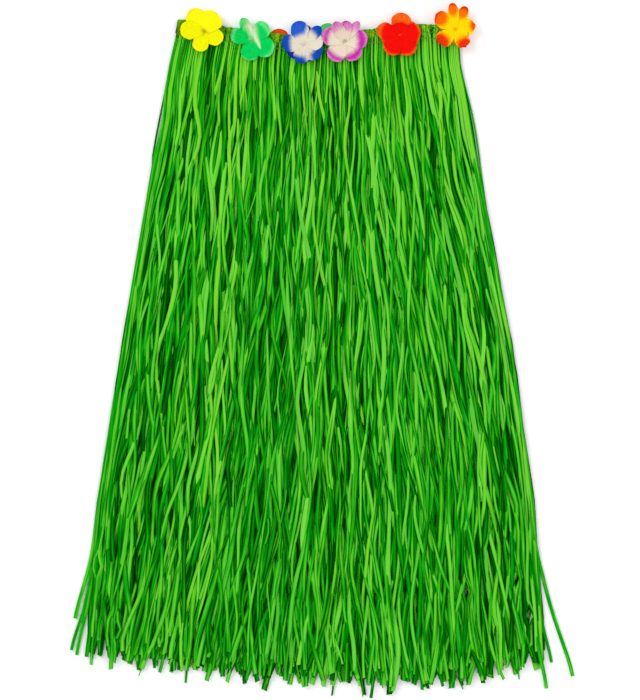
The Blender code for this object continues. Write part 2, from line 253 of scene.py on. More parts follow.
@dataclass(frozen=True)
class ElasticFinish:
    """Dark knitted elastic with ends of its rubber threads showing as pale specks."""

    name: str = "elastic"
    ground: Colour = (20, 62, 8)
    rib: Colour = (66, 112, 26)
    speck: Colour = (236, 240, 216)
    rib_pitch: float = 1.6 * MILLIMETRE
    speck_pitch: float = 3.0 * MILLIMETRE
    speck_size: float = 0.15  # of its radius, as a share of the pitch
    roughness: float = 0.8
    shine: float = 0.5

    def material(self) -> bpy.types.Material:
        """Ribs run along the band, specks sit in rows on them."""
        board = Board(self.name)
        fibre = board.painted("fibre").outputs["Vector"]
        ribs = board.scaled(fibre, (1.0, 1 / self.rib_pitch, 0.0))
        uneven = {"Vector": ribs, "Scale": 0.5, "Distortion": 1.5}
        waves = board.add("TexWave", uneven, bands_direction="Y").outputs["Fac"]
        rows = board.scaled(fibre, (1 / self.speck_pitch, 1 / self.speck_pitch, 0.0))
        specks = board.add("TexVoronoi", {"Vector": rows, "Scale": 1.0}).outputs["Distance"]
        shown = board.maths("LESS_THAN", specks, self.speck_size)
        ribbed = board.blend(waves, screen(*self.ground), screen(*self.rib))
        board.dress(board.blend(shown, ribbed, screen(*self.speck)), self.roughness, self.shine)
        board.bump(waves, 0.4 * MILLIMETRE)
        return board.material


@dataclass(frozen=True)
class PetalFinish:
    """Dyed petal cloth: a heart, a field and a rim that run into each other, with painted shade in the
    creases and a fine weave.
    """

    name: str
    heart: Colour
    field: Colour
    rim: Colour
    depth: Colour  # colour of the fine ribs, and of the painted shade in the creases and folds
    bleed: float = 0.22  # how unevenly the dyes meet
    bleed_scale: tuple = (420.0, 140.0, 5.3)
    ribs: float = 1.6  # of the deeper dye, in fine radial ribs
    ribs_from: float = 0.42
    ribs_scale: tuple = (1100.0, 150.0, 2.9)
    heart_fade: float = 0.85  # of the ribs, within the heart
    threads: float = 2600.0  # radians of the weave's waves in a metre
    roughness: float = 0.72
    shine: float = 0.06

    def material(self) -> bpy.types.Material:
        """Dress the petals by their dye and cloth attributes, the dye carrying painted shade for the creases.
        """
        board = Board(self.name)
        # The third part of the dye attribute is painted shade in the creases.
        heart, rim, shade = board.split(board.painted("dye").outputs["Vector"])
        cloth = board.painted("cloth").outputs["Vector"]
        wander = board.maths("SUBTRACT", board.noise(cloth, self.bleed_scale, 3.0), 0.5)
        fine = board.noise(cloth, self.ribs_scale, 3.0)
        bled = board.maths("MULTIPLY_ADD", wander, self.bleed * 2, heart)
        rimmed = board.maths("MULTIPLY_ADD", wander, self.bleed * 2, rim)
        hearted = self.eased(board, bled)
        edged = self.eased(board, rimmed)
        dyed = board.blend(edged, screen(*self.field), screen(*self.rim))
        dyed = board.blend(hearted, dyed, screen(*self.heart))
        ribs = board.maths("MULTIPLY", board.maths("SUBTRACT", fine, self.ribs_from), self.ribs, clamp=True)
        ribs = board.maths("MULTIPLY", ribs, board.maths("MULTIPLY_ADD", hearted, -self.heart_fade, 1.0))
        # Painted shade in the creases, and the fine ribs, take on the deeper colour.
        dyed = board.blend(board.maths("MAXIMUM", ribs, shade, clamp=True), dyed, screen(*self.depth))
        board.dress(dyed, self.roughness, self.shine)
        warp, weft = (self.thread_rows(board, cloth, side) for side in "XY")
        weave = board.maths("MULTIPLY", warp, weft)
        board.bump(board.maths("MULTIPLY_ADD", weave, 0.35, fine), 0.30 * MILLIMETRE, 0.7)
        return board.material

    def thread_rows(self, board: Board, cloth: bpy.types.NodeSocket, side: str) -> bpy.types.NodeSocket:
        """Socket with the rows of threads that follow each other along one side of the cloth."""
        scale = tuple(self.threads if axis == side else 0.0 for axis in "XYZ")
        rows = {"Vector": board.scaled(cloth, scale), "Scale": 0.5}
        return board.add("TexWave", rows, bands_direction=side).outputs[1]

    @staticmethod
    def eased(board: Board, share: bpy.types.NodeSocket) -> bpy.types.NodeSocket:
        """Socket with a share eased between 0.05 and 0.95."""
        span = {0: share, 1: 0.05, 2: 0.95, 3: 0.0, 4: 1.0}
        return board.add("MapRange", span, interpolation_type="SMOOTHSTEP").outputs[0]


@dataclass(frozen=True)
class ThreadFinish:
    """Plain sewing thread."""

    name: str
    colour: Colour
    shade: float = 0.86  # between its plies
    ply_scale: tuple = (3000.0, 1400.0, 1.0)
    roughness: float = 0.7
    shine: float = 0.1

    def material(self) -> bpy.types.Material:
        """Twisted thread, lighter and darker along its ply."""
        board = Board(self.name)
        ply = board.noise(board.painted("fibre").outputs["Vector"], self.ply_scale)
        dark = screen(*(self.shade * part for part in self.colour))
        board.dress(board.blend(ply, dark, screen(*self.colour)), self.roughness, self.shine)
        board.bump(ply, 0.1 * MILLIMETRE)
        return board.material


@dataclass(frozen=True)
class FloorFinish:
    """Seamless pale backdrop, matt and near white."""

    name: str = "backdrop"
    colour: Colour = (254, 254, 254)
    roughness: float = 0.9
    shine: float = 0.1

    def material(self) -> bpy.types.Material:
        """The same all over."""
        board = Board(self.name)
        board.dress(screen(*self.colour), self.roughness, self.shine)
        return board.material


@dataclass(frozen=True)
class SkirtPlan:
    """Where the laid skirt runs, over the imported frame."""

    left_edge: float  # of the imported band's front wall
    lower_edge: float
    length: float = 0.800
    band_height: float = 0.0200
    band_overhang: float = 0.0035
    side_downs: tuple = (-0.022, 0.030, 0.170, 0.370, 0.570, 0.720, 0.810)
    left_side: tuple = (-0.173, -0.185, -0.208, -0.242, -0.273, -0.286, -0.291)
    right_side: tuple = (0.168, 0.171, 0.195, 0.233, 0.261, 0.272, 0.277)
    rise_shares: tuple = (0.00, 0.16, 0.34, 0.50, 0.68, 0.86, 1.00)
    rise_heights: tuple = (0.0205, 0.0110, 0.0015, -0.0015, 0.0080, 0.0150, 0.0115)
    rise_easing: float = 0.05
    hem_shares: tuple = (0.00, 0.20, 0.45, 0.65, 0.80, 1.00)
    hem_drops: tuple = (-0.045, -0.029, -0.012, -0.003, -0.007, -0.034)
    loosening: Span = (0.022, 0.115)  # stations between which the ribbons leave their bunches
    lift_height: float = 1.5 * MILLIMETRE  # over the flat flowers of the back
    lift_left: float = -0.0825
    lift_right: float = 0.038
    lift_ramp: float = 0.045
    lift_fades_from: float = 0.060

    def left(self, down: Values) -> np.ndarray:
        """Left edge of the raffia at a station."""
        return read_table(self.side_downs, self.left_side, down)

    def right(self, down: Values) -> np.ndarray:
        """Right edge of the raffia at a station."""
        return read_table(self.side_downs, self.right_side, down)

    def spread(self, share: Values, down: Values, overhang: float = 0.0) -> np.ndarray:
        """Place across of a share of the width."""
        return mix(self.left(down) - overhang, self.right(down) + overhang, share)

    def rise(self, share: Values) -> np.ndarray:
        """Height of the band's top edge, with the corners of its table rounded off."""
        nearby = (share + shift for shift in (-self.rise_easing, 0.0, self.rise_easing))
        return sum(read_table(self.rise_shares, self.rise_heights, at) for at in nearby) / 3

    def hem(self, share: Values) -> np.ndarray:
        """Station of the hem."""
        return self.length + read_table(self.hem_shares, self.hem_drops, share)

    def lift(self, across: np.ndarray, down: np.ndarray) -> np.ndarray:
        """Height by which the skirt rides over the flat flowers under its back."""
        beside = np.maximum(self.lift_left - across, across - self.lift_right).clip(0) / self.lift_ramp
        below = between((self.lift_fades_from, self.loosening[1]), down)
        return self.lift_height * (1 - smooth(beside)) * (1 - below)

    def looseness(self, down: np.ndarray) -> np.ndarray:
        """From 0 where the ribbons are bunched to 1 where they lie loose."""
        return between(self.loosening, down)

    def middle(self) -> Span:
        """Place in the frame of the waist's middle, at the lowest point of its top edge."""
        rises = self.rise(np.linspace(0, 1, 97))
        corner = self.left(self.band_height - rises[0]) - self.band_overhang
        return self.left_edge - float(corner), self.lower_edge + self.band_height - float(rises.min())

    def place(self, across: np.ndarray, down: np.ndarray, height: np.ndarray) -> np.ndarray:
        """Points in the frame of places on the laid skirt."""
        x, y = self.middle()
        return np.stack(np.broadcast_arrays(across + x, y - down, height), axis=-1)


class Facing(Enum):
    """Which way the width of a strip is held."""

    ACROSS = "across the skirt"
    LEVEL = "level with the floor"


@dataclass
class Strips:
    """Many strips of the same number of stations, each a closed body with thin edges."""

    centre: np.ndarray  # strips, stations, 3
    width: np.ndarray  # strips, stations
    thickness: Values
    twist: Values = 0.0
    crease: Values = 0.0  # height of a ridge along the strip
    ridge: Values = 0.0  # place of that ridge, from -1 to 1 across
    curl: Values = 0.0  # height of the edges over the middle
    pleats: float = 0.0
    pleat_depth: Values = 0.0
    pleat_phase: Values = 0.0
    tone: Values = 0.5
    hue: Values = 0.0
    facing: Facing = Facing.ACROSS
    columns: int = 5  # points across the top
    edge_thinness: float = 0.6
    edge_shade: Values = 0.0  # painted shade: fall of the tone towards the edges
    cut: Values = 0.0  # slant of the far end
    underside: tuple = (0.0,)
    crimp: Values = 0.0  # how crinkled the raffia is
    atlas_rows: int = 2  # of strips on the baking sheet
    row_floor: float = 0.02  # of a row's height, left free under its strips
    row_reach: float = 0.93
    cap_rows: Span = (0.01, 0.03)  # over the strips, where their end faces lie
    lane_margin: float = 0.08  # of a lane's width

    def per_station(self, value: Values) -> np.ndarray:
        """Spread a value over all the stations of all the strips."""
        value = np.asarray(value, dtype=float)
        if value.ndim == 1:
            value = value[:, None]
        return np.broadcast_to(value, self.width.shape)

    def axes(self) -> tuple[np.ndarray, np.ndarray]:
        """Directions across and out of the strips, with their twist."""
        along = unit(np.gradient(self.centre, axis=1))
        if self.facing is Facing.ACROSS:
            ahead = np.array([1.0, 0.0, 0.0])
            across = unit(ahead - along * (along @ ahead)[..., None])
        else:
            across = unit(np.cross(np.array([0.0, 0.0, 1.0]), along))
        out = np.cross(along, across)
        turn = self.per_station(self.twist)[..., None]
        return np.cos(turn) * across + np.sin(turn) * out, np.cos(turn) * out - np.sin(turn) * across

    def points(self) -> tuple[np.ndarray, np.ndarray]:
        """Points round every strip, and their shares across."""
        across, out = self.axes()
        shares = np.concatenate([np.linspace(-1, 1, self.columns), self.underside])
        side = np.where(np.arange(len(shares)) < self.columns, 0.5, -0.5)
        ridge = self.per_station(self.ridge)[..., None]
        height = self.per_station(self.crease)[..., None] * (1 - np.abs(shares - ridge) / (1 + np.abs(ridge)))
        height = height + self.per_station(self.curl)[..., None] * shares**2
        waves = np.cos(math.pi * self.pleats * shares + self.per_station(self.pleat_phase)[..., None])
        height = height + self.per_station(self.pleat_depth)[..., None] * waves
        wall = self.per_station(self.thickness)[..., None] * (1 - self.edge_thinness * shares**2)
        height = height + wall * side
        sideways = self.width[..., None] * shares / 2
        points = self.centre[:, :, None, :] + across[:, :, None, :] * sideways[..., None]
        slant = self.per_station(self.cut)[:, -1, None] * sideways[:, -1]
        points[:, -1] += unit(self.centre[:, -1] - self.centre[:, -2])[:, None, :] * slant[..., None]
        return points + out[:, :, None, :] * height[..., None], shares

    def atlas(self, strips: int, stations: int, ring: int) -> np.ndarray:
        """Places of all the face corners on the baking sheet, each strip in its own two lanes.

        Args:
            strips: How many strips there are.
            stations: How many rings of points each of them has.
            ring: How many points each ring has.

        Returns:
            A place for each face corner, in the order in which the faces are made.
        """
        lanes = math.ceil(strips / self.atlas_rows)
        lane_width = 1 / (2 * lanes)
        row_height = 1 / self.atlas_rows
        margin = self.lane_margin * lane_width
        usable = lane_width - 2 * margin
        reach = self.row_reach * row_height
        number = np.arange(strips)
        left = ((number % lanes) * 2 * lane_width)[:, None]
        floor = ((number // lanes) * row_height + self.row_floor * row_height)[:, None]
        top_faces = self.columns - 1
        under_faces = ring - top_faces
        start = np.concatenate([np.arange(faces) / faces for faces in (top_faces, under_faces)])
        end = np.concatenate([np.arange(1, faces + 1) / faces for faces in (top_faces, under_faces)])
        lane = np.repeat([0.0, lane_width], [top_faces, under_faces])
        near, far = (left + lane + margin + share * usable for share in (start, end))
        step = np.arange(stations - 1) / (stations - 1)
        low, high = floor + step * reach, floor + (step + 1 / (stations - 1)) * reach
        shape = (strips, stations - 1, ring)
        corners = [
            np.stack([np.broadcast_to(u[:, None, :], shape), np.broadcast_to(v[:, :, None], shape)], -1)
            for u, v in ((near, low), (near, high), (far, high), (far, low))
        ]
        sides = np.stack(corners, axis=3).reshape(strips, -1, 2)
        back = np.linspace(1, 0, ring - self.columns + 2)[1:-1]
        share = np.concatenate([np.linspace(0, 1, self.columns), back])
        cap_row = np.where(np.arange(ring) < self.columns, self.cap_rows[1], self.cap_rows[0])
        caps = []
        for lane_number, order in enumerate((slice(None), slice(None, None, -1))):
            u = left + lane_number * lane_width + margin + share[order] * usable
            v = floor + reach + cap_row[order] * row_height
            caps.append(np.stack([u, v], -1))
        return np.concatenate([sides, *caps], axis=1).reshape(-1, 2)

    def build(self, name: str, material: bpy.types.Material) -> bpy.types.Object:
        """Make one mesh of all the strips.

        Args:
            name: Name of the piece.
            material: Its finish.

        Returns:
            The new object, placed in the frame.
        """
        points, shares = self.points()
        strips, stations, ring = points.shape[:3]
        base = np.arange(strips)[:, None, None] * stations * ring
        here = base + np.arange(stations - 1)[None, :, None] * ring + np.arange(ring)
        beside = base + np.arange(stations - 1)[None, :, None] * ring + (np.arange(ring) + 1) % ring
        sides = np.stack([here, here + ring, beside + ring, beside], axis=-1).reshape(strips, -1)
        first = np.arange(strips)[:, None] * stations * ring + np.arange(ring)
        last = first[:, ::-1] + (stations - 1) * ring
        corners = np.concatenate([sides, first, last], axis=1).reshape(-1)
        counts = np.concatenate([np.full((stations - 1) * ring, 4), [ring, ring]])
        starts = np.concatenate([[0], np.cumsum(np.tile(counts, strips))[:-1]])
        flat = np.tile(np.concatenate([np.ones((stations - 1) * ring, bool), [False, False]]), strips)
        mesh = new_mesh(name, points.reshape(-1, 3), corners, starts, flat)
        mark_rims(mesh, ring, (0, self.columns - 1))
        steps = np.linalg.norm(np.diff(self.centre, axis=1), axis=-1)
        along = np.concatenate([np.zeros((strips, 1)), np.cumsum(steps, axis=1)], axis=1)
        number = np.broadcast_to(np.arange(strips)[:, None, None], (strips, stations, ring))
        across = self.width[..., None] * shares / 2
        fibre = np.stack([across, np.broadcast_to(along[..., None], number.shape), number], -1)
        # Painted shade: the tone falls towards the edges of each strip.
        fall = self.per_station(self.edge_shade)[..., None] * np.abs(shares) ** 3
        paint(mesh, "fibre", fibre)
        paint(mesh, "tone", self.per_station(self.tone)[..., None] - fall)
        for paint_name, value in (("hue", self.hue), ("crimp", self.crimp)):
            paint(mesh, paint_name, np.broadcast_to(self.per_station(value)[..., None], number.shape))
        sheet = mesh.uv_layers.new(name="OFBake")
        sheet.data.foreach_set("uv", self.atlas(strips, stations, ring).reshape(-1).astype(np.float32))
        return new_object(name, mesh, material)


@dataclass
class Sheets:
    """Several pieces of cloth of the same grid, each a closed thin shell."""

    points: np.ndarray  # pieces, rows, columns, 3, the upper side
    thickness: float
    paints: dict[str, np.ndarray] = field(default_factory=dict)

    def build(self, name: str, material: bpy.types.Material) -> bpy.types.Object:
        """Make one mesh of all the pieces."""
        pieces, rows, columns = self.points.shape[:3]
        across = np.gradient(self.points, axis=2)
        along = np.gradient(self.points, axis=1)
        out = unit(np.cross(across, along))
        both = np.stack([self.points, self.points - out * self.thickness], axis=1)
        index = np.arange(pieces * 2 * rows * columns).reshape(pieces, 2, rows, columns)
        top, under = index[:, 0], index[:, 1]
        quads = [  # above, below, then the four edges
            self.quads(top[:, :-1, :-1], top[:, :-1, 1:], top[:, 1:, 1:], top[:, 1:, :-1]),
            self.quads(under[:, :-1, :-1], under[:, 1:, :-1], under[:, 1:, 1:], under[:, :-1, 1:]),
            self.quads(top[:, 0, :-1], under[:, 0, :-1], under[:, 0, 1:], top[:, 0, 1:]),
            self.quads(top[:, -1, 1:], under[:, -1, 1:], under[:, -1, :-1], top[:, -1, :-1]),
            self.quads(top[:, 1:, 0], under[:, 1:, 0], under[:, :-1, 0], top[:, :-1, 0]),
            self.quads(top[:, :-1, -1], under[:, :-1, -1], under[:, 1:, -1], top[:, 1:, -1]),
        ]
        corners = np.concatenate(quads).reshape(-1)
        starts = np.arange(0, len(corners), 4)
        mesh = new_mesh(name, both.reshape(-1, 3), corners, starts, np.ones(len(starts), bool))
        for paint_name, values in self.paints.items():
            paint(mesh, paint_name, np.stack([values, values], axis=1))
        return new_object(name, mesh, material)

    @staticmethod
    def quads(*corners: np.ndarray) -> np.ndarray:
        """Faces from four equal sets of corners."""
        return np.stack([corner.reshape(-1) for corner in corners], axis=-1)


def new_mesh(
    name: str, points: np.ndarray, corners: np.ndarray, starts: np.ndarray, soft: np.ndarray
) -> bpy.types.Mesh:
    """Make a mesh from arrays.

    Args:
        name: Name of the mesh.
        points: Its points.
        corners: Number of the point at every face corner.
        starts: First corner of every face.
        soft: Whether each face is shaded smooth.

    Returns:
        The new mesh.
    """
    mesh = bpy.data.meshes.new(name)
    mesh.vertices.add(len(points))
    mesh.vertices.foreach_set("co", points.reshape(-1).astype(np.float32))
    mesh.loops.add(len(corners))
    mesh.loops.foreach_set("vertex_index", corners.astype(np.int32))
    mesh.polygons.add(len(starts))
    mesh.polygons.foreach_set("loop_start", starts.astype(np.int32))
    mesh.polygons.foreach_set("use_smooth", soft)
    mesh.update(calc_edges=True)
    return mesh


def mark_rims(mesh: bpy.types.Mesh, ring: int, rims: tuple[int, int]) -> None:
    """Keep the long thin edges of strips sharp."""
    ends = np.empty(len(mesh.edges) * 2, np.int32)
    mesh.edges.foreach_get("vertices", ends)
    ends = ends.reshape(-1, 2) % ring
    sharp = (ends[:, 0] == ends[:, 1]) & np.isin(ends[:, 0], rims)
    mesh.attributes.new("sharp_edge", "BOOLEAN", "EDGE").data.foreach_set("value", sharp)


def paint(mesh: bpy.types.Mesh, name: str, values: np.ndarray) -> None:
    """Store a number or a vector at every point of a mesh."""
    vector = values.shape[-1] == 3 and values.size == 3 * len(mesh.vertices)
    kind, key = ("FLOAT_VECTOR", "vector") if vector else ("FLOAT", "value")
    mesh.attributes.new(name, kind, "POINT").data.foreach_set(key, values.reshape(-1).astype(np.float32))


def new_object(name: str, mesh: bpy.types.Mesh, material: bpy.types.Material) -> bpy.types.Object:
    """Show a mesh with a material."""
    mesh.materials.append(material)
    thing = bpy.data.objects.new(name, mesh)
    bpy.context.scene.collection.objects.link(thing)
    return thing


def settle(thing: bpy.types.Object, slot: str, *nodes: str) -> bpy.types.Object:
    """Fix a piece to the body, log its slot, and let it stand for solids of the frame."""
    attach(thing, BODY)
    if nodes:
        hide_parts(*nodes)
    stood_for = ", ".join(nodes) or "nothing"
    log.info("%s: %d faces, slot %s, for %s", thing.name, len(thing.data.polygons), slot, stood_for)
    return thing


@dataclass(frozen=True)
class Layer:
    """One layer of ribbons in a half of the fringe."""

    name: str
    ribbons: int
    lowest: float  # in its half's stack, from 0 at the floor side to 1 on top
    highest: float
    from_top_edge: bool = False  # folded over the elastic, and not just sewn under it


@dataclass(frozen=True)
class HemGap:
    """A place where bunches of ribbons part."""

    across: float
    depth: float  # from where it opens to the hem, or to where it closes
    half_width: float
    closes_at: float = 0.0  # over the hem, for a slit
    slack: float = 0.0030  # how soon ribbons may cross its line where it narrows
    softness: float = 0.0016

    def push(self, across: np.ndarray) -> np.ndarray:
        """Shift of the ribbons beside it, where it is widest."""
        beside = (across - self.across) / (1.7 * self.half_width)
        return self.half_width * np.tanh(5 * beside) * np.exp(-(beside**2))

    def keep_out(self, across: np.ndarray, above_hem: np.ndarray) -> np.ndarray:
        """Places across of ribbons that stay on their own side of it.

        Args:
            across: Places of the ribbons' stations, one row each.
            above_hem: Heights of the stations over the hem.

        Returns:
            The places, drawn aside where the gap is open.
        """
        opened = np.clip(self.opened(above_hem), 0.001, None)
        widest = np.argmax(opened, axis=1)[:, None]
        side = np.where(np.take_along_axis(across, widest, axis=1) < self.across, -1.0, 1.0)
        beside = (across - self.across) * side
        needed = self.half_width * opened - self.slack * (1 / opened - 1).clip(0)
        kept = (beside + needed + np.sqrt((beside - needed) ** 2 + self.softness**2)) / 2
        return self.across + side * kept

    def opened(self, above_hem: np.ndarray) -> np.ndarray:
        """How far it is open at heights over the hem."""
        if self.closes_at:
            return np.sin(math.pi * np.clip((above_hem - self.closes_at) / self.depth, 0, 1))
        return np.clip(1 - above_hem / self.depth, 0, 1.4)


@dataclass(frozen=True)
class Stray:
    """A ribbon that leaves the side of the skirt."""

    share: float  # of the waist's width, where it starts
    width: float
    reach: float  # station of its cut end
    tone: float
    downs: tuple
    outs: tuple  # to the right of its own place in the fringe
    easing: tuple = (-0.02, -0.01, 0.0, 0.01, 0.02)  # round its bends

    def out(self, down: np.ndarray) -> np.ndarray:
        """How far to the right it lies at each station."""
        return sum(np.interp(down + shift, self.downs, self.outs) for shift in self.easing) / len(self.easing)


@dataclass
class RaffiaFringe:
    """One half of the raffia: layers of ribbons that sway, twist and cross."""

    plan: SkirtPlan
    finish: RaffiaFinish
    node: str
    slot: str
    layers: tuple[Layer, ...]
    seed: int
    root_heights: Span
    loose_heights: Span
    stations: int = 66
    columns: int = 5
    jitter: float = 0.45  # of the places along the waist, in steps between them
    root_unevenness: Span = (-0.0060, 0.0010)  # of the starts under the band
    lean: float = 0.010  # share of the width
    lean_wave: float = 0.014
    uneven: Span = (-0.024, 0.001)  # of the hem's cut ends
    hem_waves: tuple = ((0.005, 61), (0.004, 147))  # size, and radians over the width
    wisp_chance: float = 0.06
    wisp_by: Span = (0.002, 0.012)  # how much longer a wisp is
    wisp_width: float = 0.36
    long_chance: float = 0.07
    long_by: Span = (0.005, 0.013)

    width: Span = (0.0034, 0.0062)
    root_width: float = 0.54
    wide_by: float = 0.100
    width_wave: Span = (0.04, 0.16)
    width_wave_lengths: Span = (0.06, 0.20)
    on_edge_narrows: float = 0.35
    thickness: float = 0.00042
    crease: Span = (0.0001, 0.0006)
    crease_lengths: Span = (0.12, 0.50)
    rounding: Span = (-0.0013, -0.0004)  # height of the edges over the middle
    cut: float = 0.35  # steepest slant of a cut end

    bunches: tuple = ((9, 1.7, 0.0040), (21, 3.1, 0.0022), (43, 5.3, 0.0009))  # waves, drift, pull
    bunch_span: float = 0.45
    sway: Span = (0.0030, 0.0115)
    sway_lengths: Span = (0.17, 0.42)
    sway_growth: Span = (0.85, 1.0)  # from the top to the hem
    side_sway: float = 0.30
    tied: float = 0.4  # share of the ripple and the rounding that the bunches leave
    bend: float = 0.88  # from 0 for soft waves to 1 for straight runs with sharp bends
    ripple: Span = (0.0003, 0.0012)
    ripple_lengths: Span = (0.07, 0.14)
    side_room: float = 0.08  # share of the width over which the sway dies away at each side
    side_inset: Span = (0.0014, 0.0060)  # of the ribbons' middles from the skirt's sides
    hollow_from: float = 0.066  # of the left side, which a single strand spans
    hollow_length: float = 0.078
    hollow_depth: float = 0.0034
    crosser_chance: float = 0.12
    crosser_from: Span = (0.46, 0.70)
    crosser_reach: float = 0.055  # how far across a crossing ribbon has gone by its end
    crosser_sizes: Span = (0.35, 1.0)  # shares of that reach
    crosser_room: float = 0.16  # share of the width over which it grows from the sides
    crosser_bow: float = 1.3
    leans_left: Span = (0.85, 0.45)  # chance of it, at the left side and from the middle on
    leans_over: Span = (0.30, 0.60)  # shares of the width between which that chance falls
    sweep_share: float = 0.46  # share of the width, from the left, that leans out
    sweep_from: float = 0.50
    sweep_reach: float = 0.024
    sweep_bow: float = 1.4

    fold_radius: Span = (0.0030, 0.0036)  # of the turn over the elastic
    fold_middle: float = 0.0044
    fold_start: float = 0.0030  # of the ribbon behind the elastic
    fold_stations: int = 9
    fold_unevenness: Span = (-0.0004, 0.0022)
    leaves_band: Span = (0.018, 0.068)  # length past the fold where it begins and where it ends
    weave: float = 0.0030
    weave_lengths: Span = (0.10, 0.26)
    side_slope: float = 0.026  # width over which the pile rises from the skirt's sides
    side_start: float = 0.15  # of that rise, at the very side
    side_height: float = 0.42  # share of the pile's height
    end_slope: float = 0.07
    end_height: float = 0.72
    tilt: float = math.radians(24)
    tilt_spread: float = 0.45
    tilt_wave: Span = (0.2, 0.9)
    tied_tilt: float = 0.35  # share of the tilt that the bunches leave
    tilt_lengths: Span = (0.14, 0.50)
    flip_chance: float = 0.30
    flip_from: Span = (0.10, 0.66)
    flip_length: Span = (0.05, 0.10)
    floor_gap: float = 0.0004

    tones: Span = (0.25, 0.80)  # painted shade: tones at the bottom of the stack and on top, darker the deeper a ribbon lies
    tone_spread: float = 0.22
    tone_wave: Span = (0.03, 0.13)
    tone_wave_lengths: Span = (0.08, 0.30)
    tone_drift: Span = (-0.005, 0.055)  # at the waist and at the hem
    # painted shade of a ribbon where it stands on edge
    on_edge_shade: float = 0.22
    # painted light: ribbons lighter over their last stretch and towards their tips
    cut_end: float = 0.008
    cut_end_light: float = 0.08
    tip_length: float = 0.050
    tip_light: float = 0.08
    # painted light: ribbons along the left side lighter
    left_side_light: float = 0.14
    left_strip: float = 0.035  # share of the width that it reaches over
    bright: float = 0.68  # tone from which the hem is duller
    dull_hem: float = 0.35
    dull_span: Span = (0.42, 0.62)
    middling: float = 0.62  # tone about which the contrast grows near the band
    top_contrast: float = 0.22
    top_span: Span = (0.10, 0.25)
    edge_shade: Span = (0.74, 0.48)  # painted shade towards the edges: by the band and farther down
    edge_shade_by: float = 0.14
    hue_spread: float = 0.50
    band_hue: float = 0.95
    band_hue_span: Span = (0.02, 0.21)
    fold_hue: float = 0.5
    fold_hue_length: float = 0.05

    strays: tuple[Stray, ...] = ()
    stray_heights: Span = (0.0075, 0.0030)  # within the skirt and outside it
    stray_level: float = 0.3  # in the stack, by the band
    stray_slope: float = 0.006  # width over which it comes down to the floor
    stray_crease: float = 0.0003
    gaps: tuple[HemGap, ...] = ()
    bare_patch: HemGap | None = None

    def build(self) -> list[bpy.types.Object]:
        """Make every layer, then the strays.

        Returns:
            The pieces, all riding on the body.
        """
        material = self.finish.material()
        pieces = []
        for number, layer in enumerate(self.layers):
            strips = self.lay(layer, np.random.default_rng(self.seed + number))
            pieces.append(settle(strips.build(layer.name, material), self.slot, self.node))
        if self.strays:
            strips = self.lay_strays(np.random.default_rng(self.seed + len(self.layers)))
            pieces.append(settle(strips.build(self.node + "_strays", material), self.slot))
        return pieces

    def lay(self, layer: Layer, chance: np.random.Generator) -> Strips:
        """Lay one layer of ribbons.

        Args:
            layer: How many ribbons it has, and where it lies in the stack.
            chance: Source of their unevenness.

        Returns:
            The ribbons, ready to be built.
        """
        plan = self.plan
        count = layer.ribbons
        shifted = np.arange(count) + chance.uniform(-self.jitter, self.jitter, count)
        share = np.clip(shifted / (count - 1), 0, 1)
        level = mix(layer.lowest, layer.highest, chance.random(count))
        lean = chance.normal(0, self.lean, count)
        lean = lean + self.lean_wave * np.sin(FULL_TURN * (1.5 * share + chance.random()))
        end, wisp = self.ends(share, chance)
        if layer.from_top_edge:
            down, folded, fold_height = self.fold(share, end, chance)
        else:
            start = plan.band_height - plan.rise(share) + chance.uniform(*self.root_unevenness, count)
            down = start[:, None] + (end - start)[:, None] * np.linspace(0, 1, self.stations)
        below_top = down + plan.rise(share)[:, None]
        loose = plan.looseness(down)
        across = self.paths(share, lean, down, chance)
        if layer.from_top_edge and self.bare_patch:
            closed = smooth(below_top / self.bare_patch.depth - 0.5)
            across = across + self.bare_patch.push(across) * (1 - closed)
        width = chance.uniform(*self.width, count) * np.where(wisp, self.wisp_width, 1.0)
        width = width[:, None] * mix(self.root_width, 1.0, smooth(below_top / self.wide_by))
        width = width * (1 + self.waves(down, self.width_wave, self.width_wave_lengths, chance))
        twist, on_edge = self.twists(down, chance)
        width = width * (1 - self.on_edge_narrows * on_edge)
        height = self.heights(level, share, down, across, chance)
        rounding = chance.uniform(*self.rounding, count)[:, None] * mix(self.tied, 1.0, loose)
        lowest = np.abs(rounding) + self.crease[1] + self.floor_gap + self.thickness
        height = np.maximum(height, lowest + width / 2 * np.abs(np.sin(twist)))
        hue = np.clip(chance.normal(0, self.hue_spread, count), -1, 1)[:, None]
        hue = hue + self.band_hue * (1 - between(self.band_hue_span, below_top))
        if layer.from_top_edge:
            height = mix(np.maximum(fold_height, lowest), height, folded)
            hue = hue + self.fold_hue * (1 - smooth(below_top / self.fold_hue_length))
            twist = twist * folded
        tone = self.toned(level, share, down, end, on_edge, chance)
        return Strips(
            centre=plan.place(across, down, height + plan.lift(across, down)),
            width=width,
            thickness=self.thickness,
            twist=twist,
            crease=self.waves(down, self.crease, self.crease_lengths, chance),
            ridge=chance.uniform(-0.5, 0.5, count),
            curl=rounding,
            tone=tone,
            hue=np.clip(hue, -1, 1),
            edge_shade=mix(*self.edge_shade, smooth(down / self.edge_shade_by)),
            cut=chance.uniform(-self.cut, self.cut, count),
            columns=self.columns,
            crimp=1 - smooth((below_top - 0.6 * plan.band_height) / plan.band_height),
        )

    def ends(self, share: np.ndarray, chance: np.random.Generator) -> tuple[np.ndarray, np.ndarray]:
        """Stations of the cut ends, and which of the ribbons are thin wisps."""
        count = len(share)
        (tall, slow), (low, quick) = self.hem_waves
        bunched = tall * np.sin(share * slow + chance.random() * 6) + low * np.sin(share * quick)
        end = self.plan.hem(share) + bunched + chance.uniform(*self.uneven, count)
        wisp = chance.random(count) < self.wisp_chance
        end = end + wisp * chance.uniform(*self.wisp_by, count)
        end = end + (chance.random(count) < self.long_chance) * chance.uniform(*self.long_by, count)
        return end, wisp

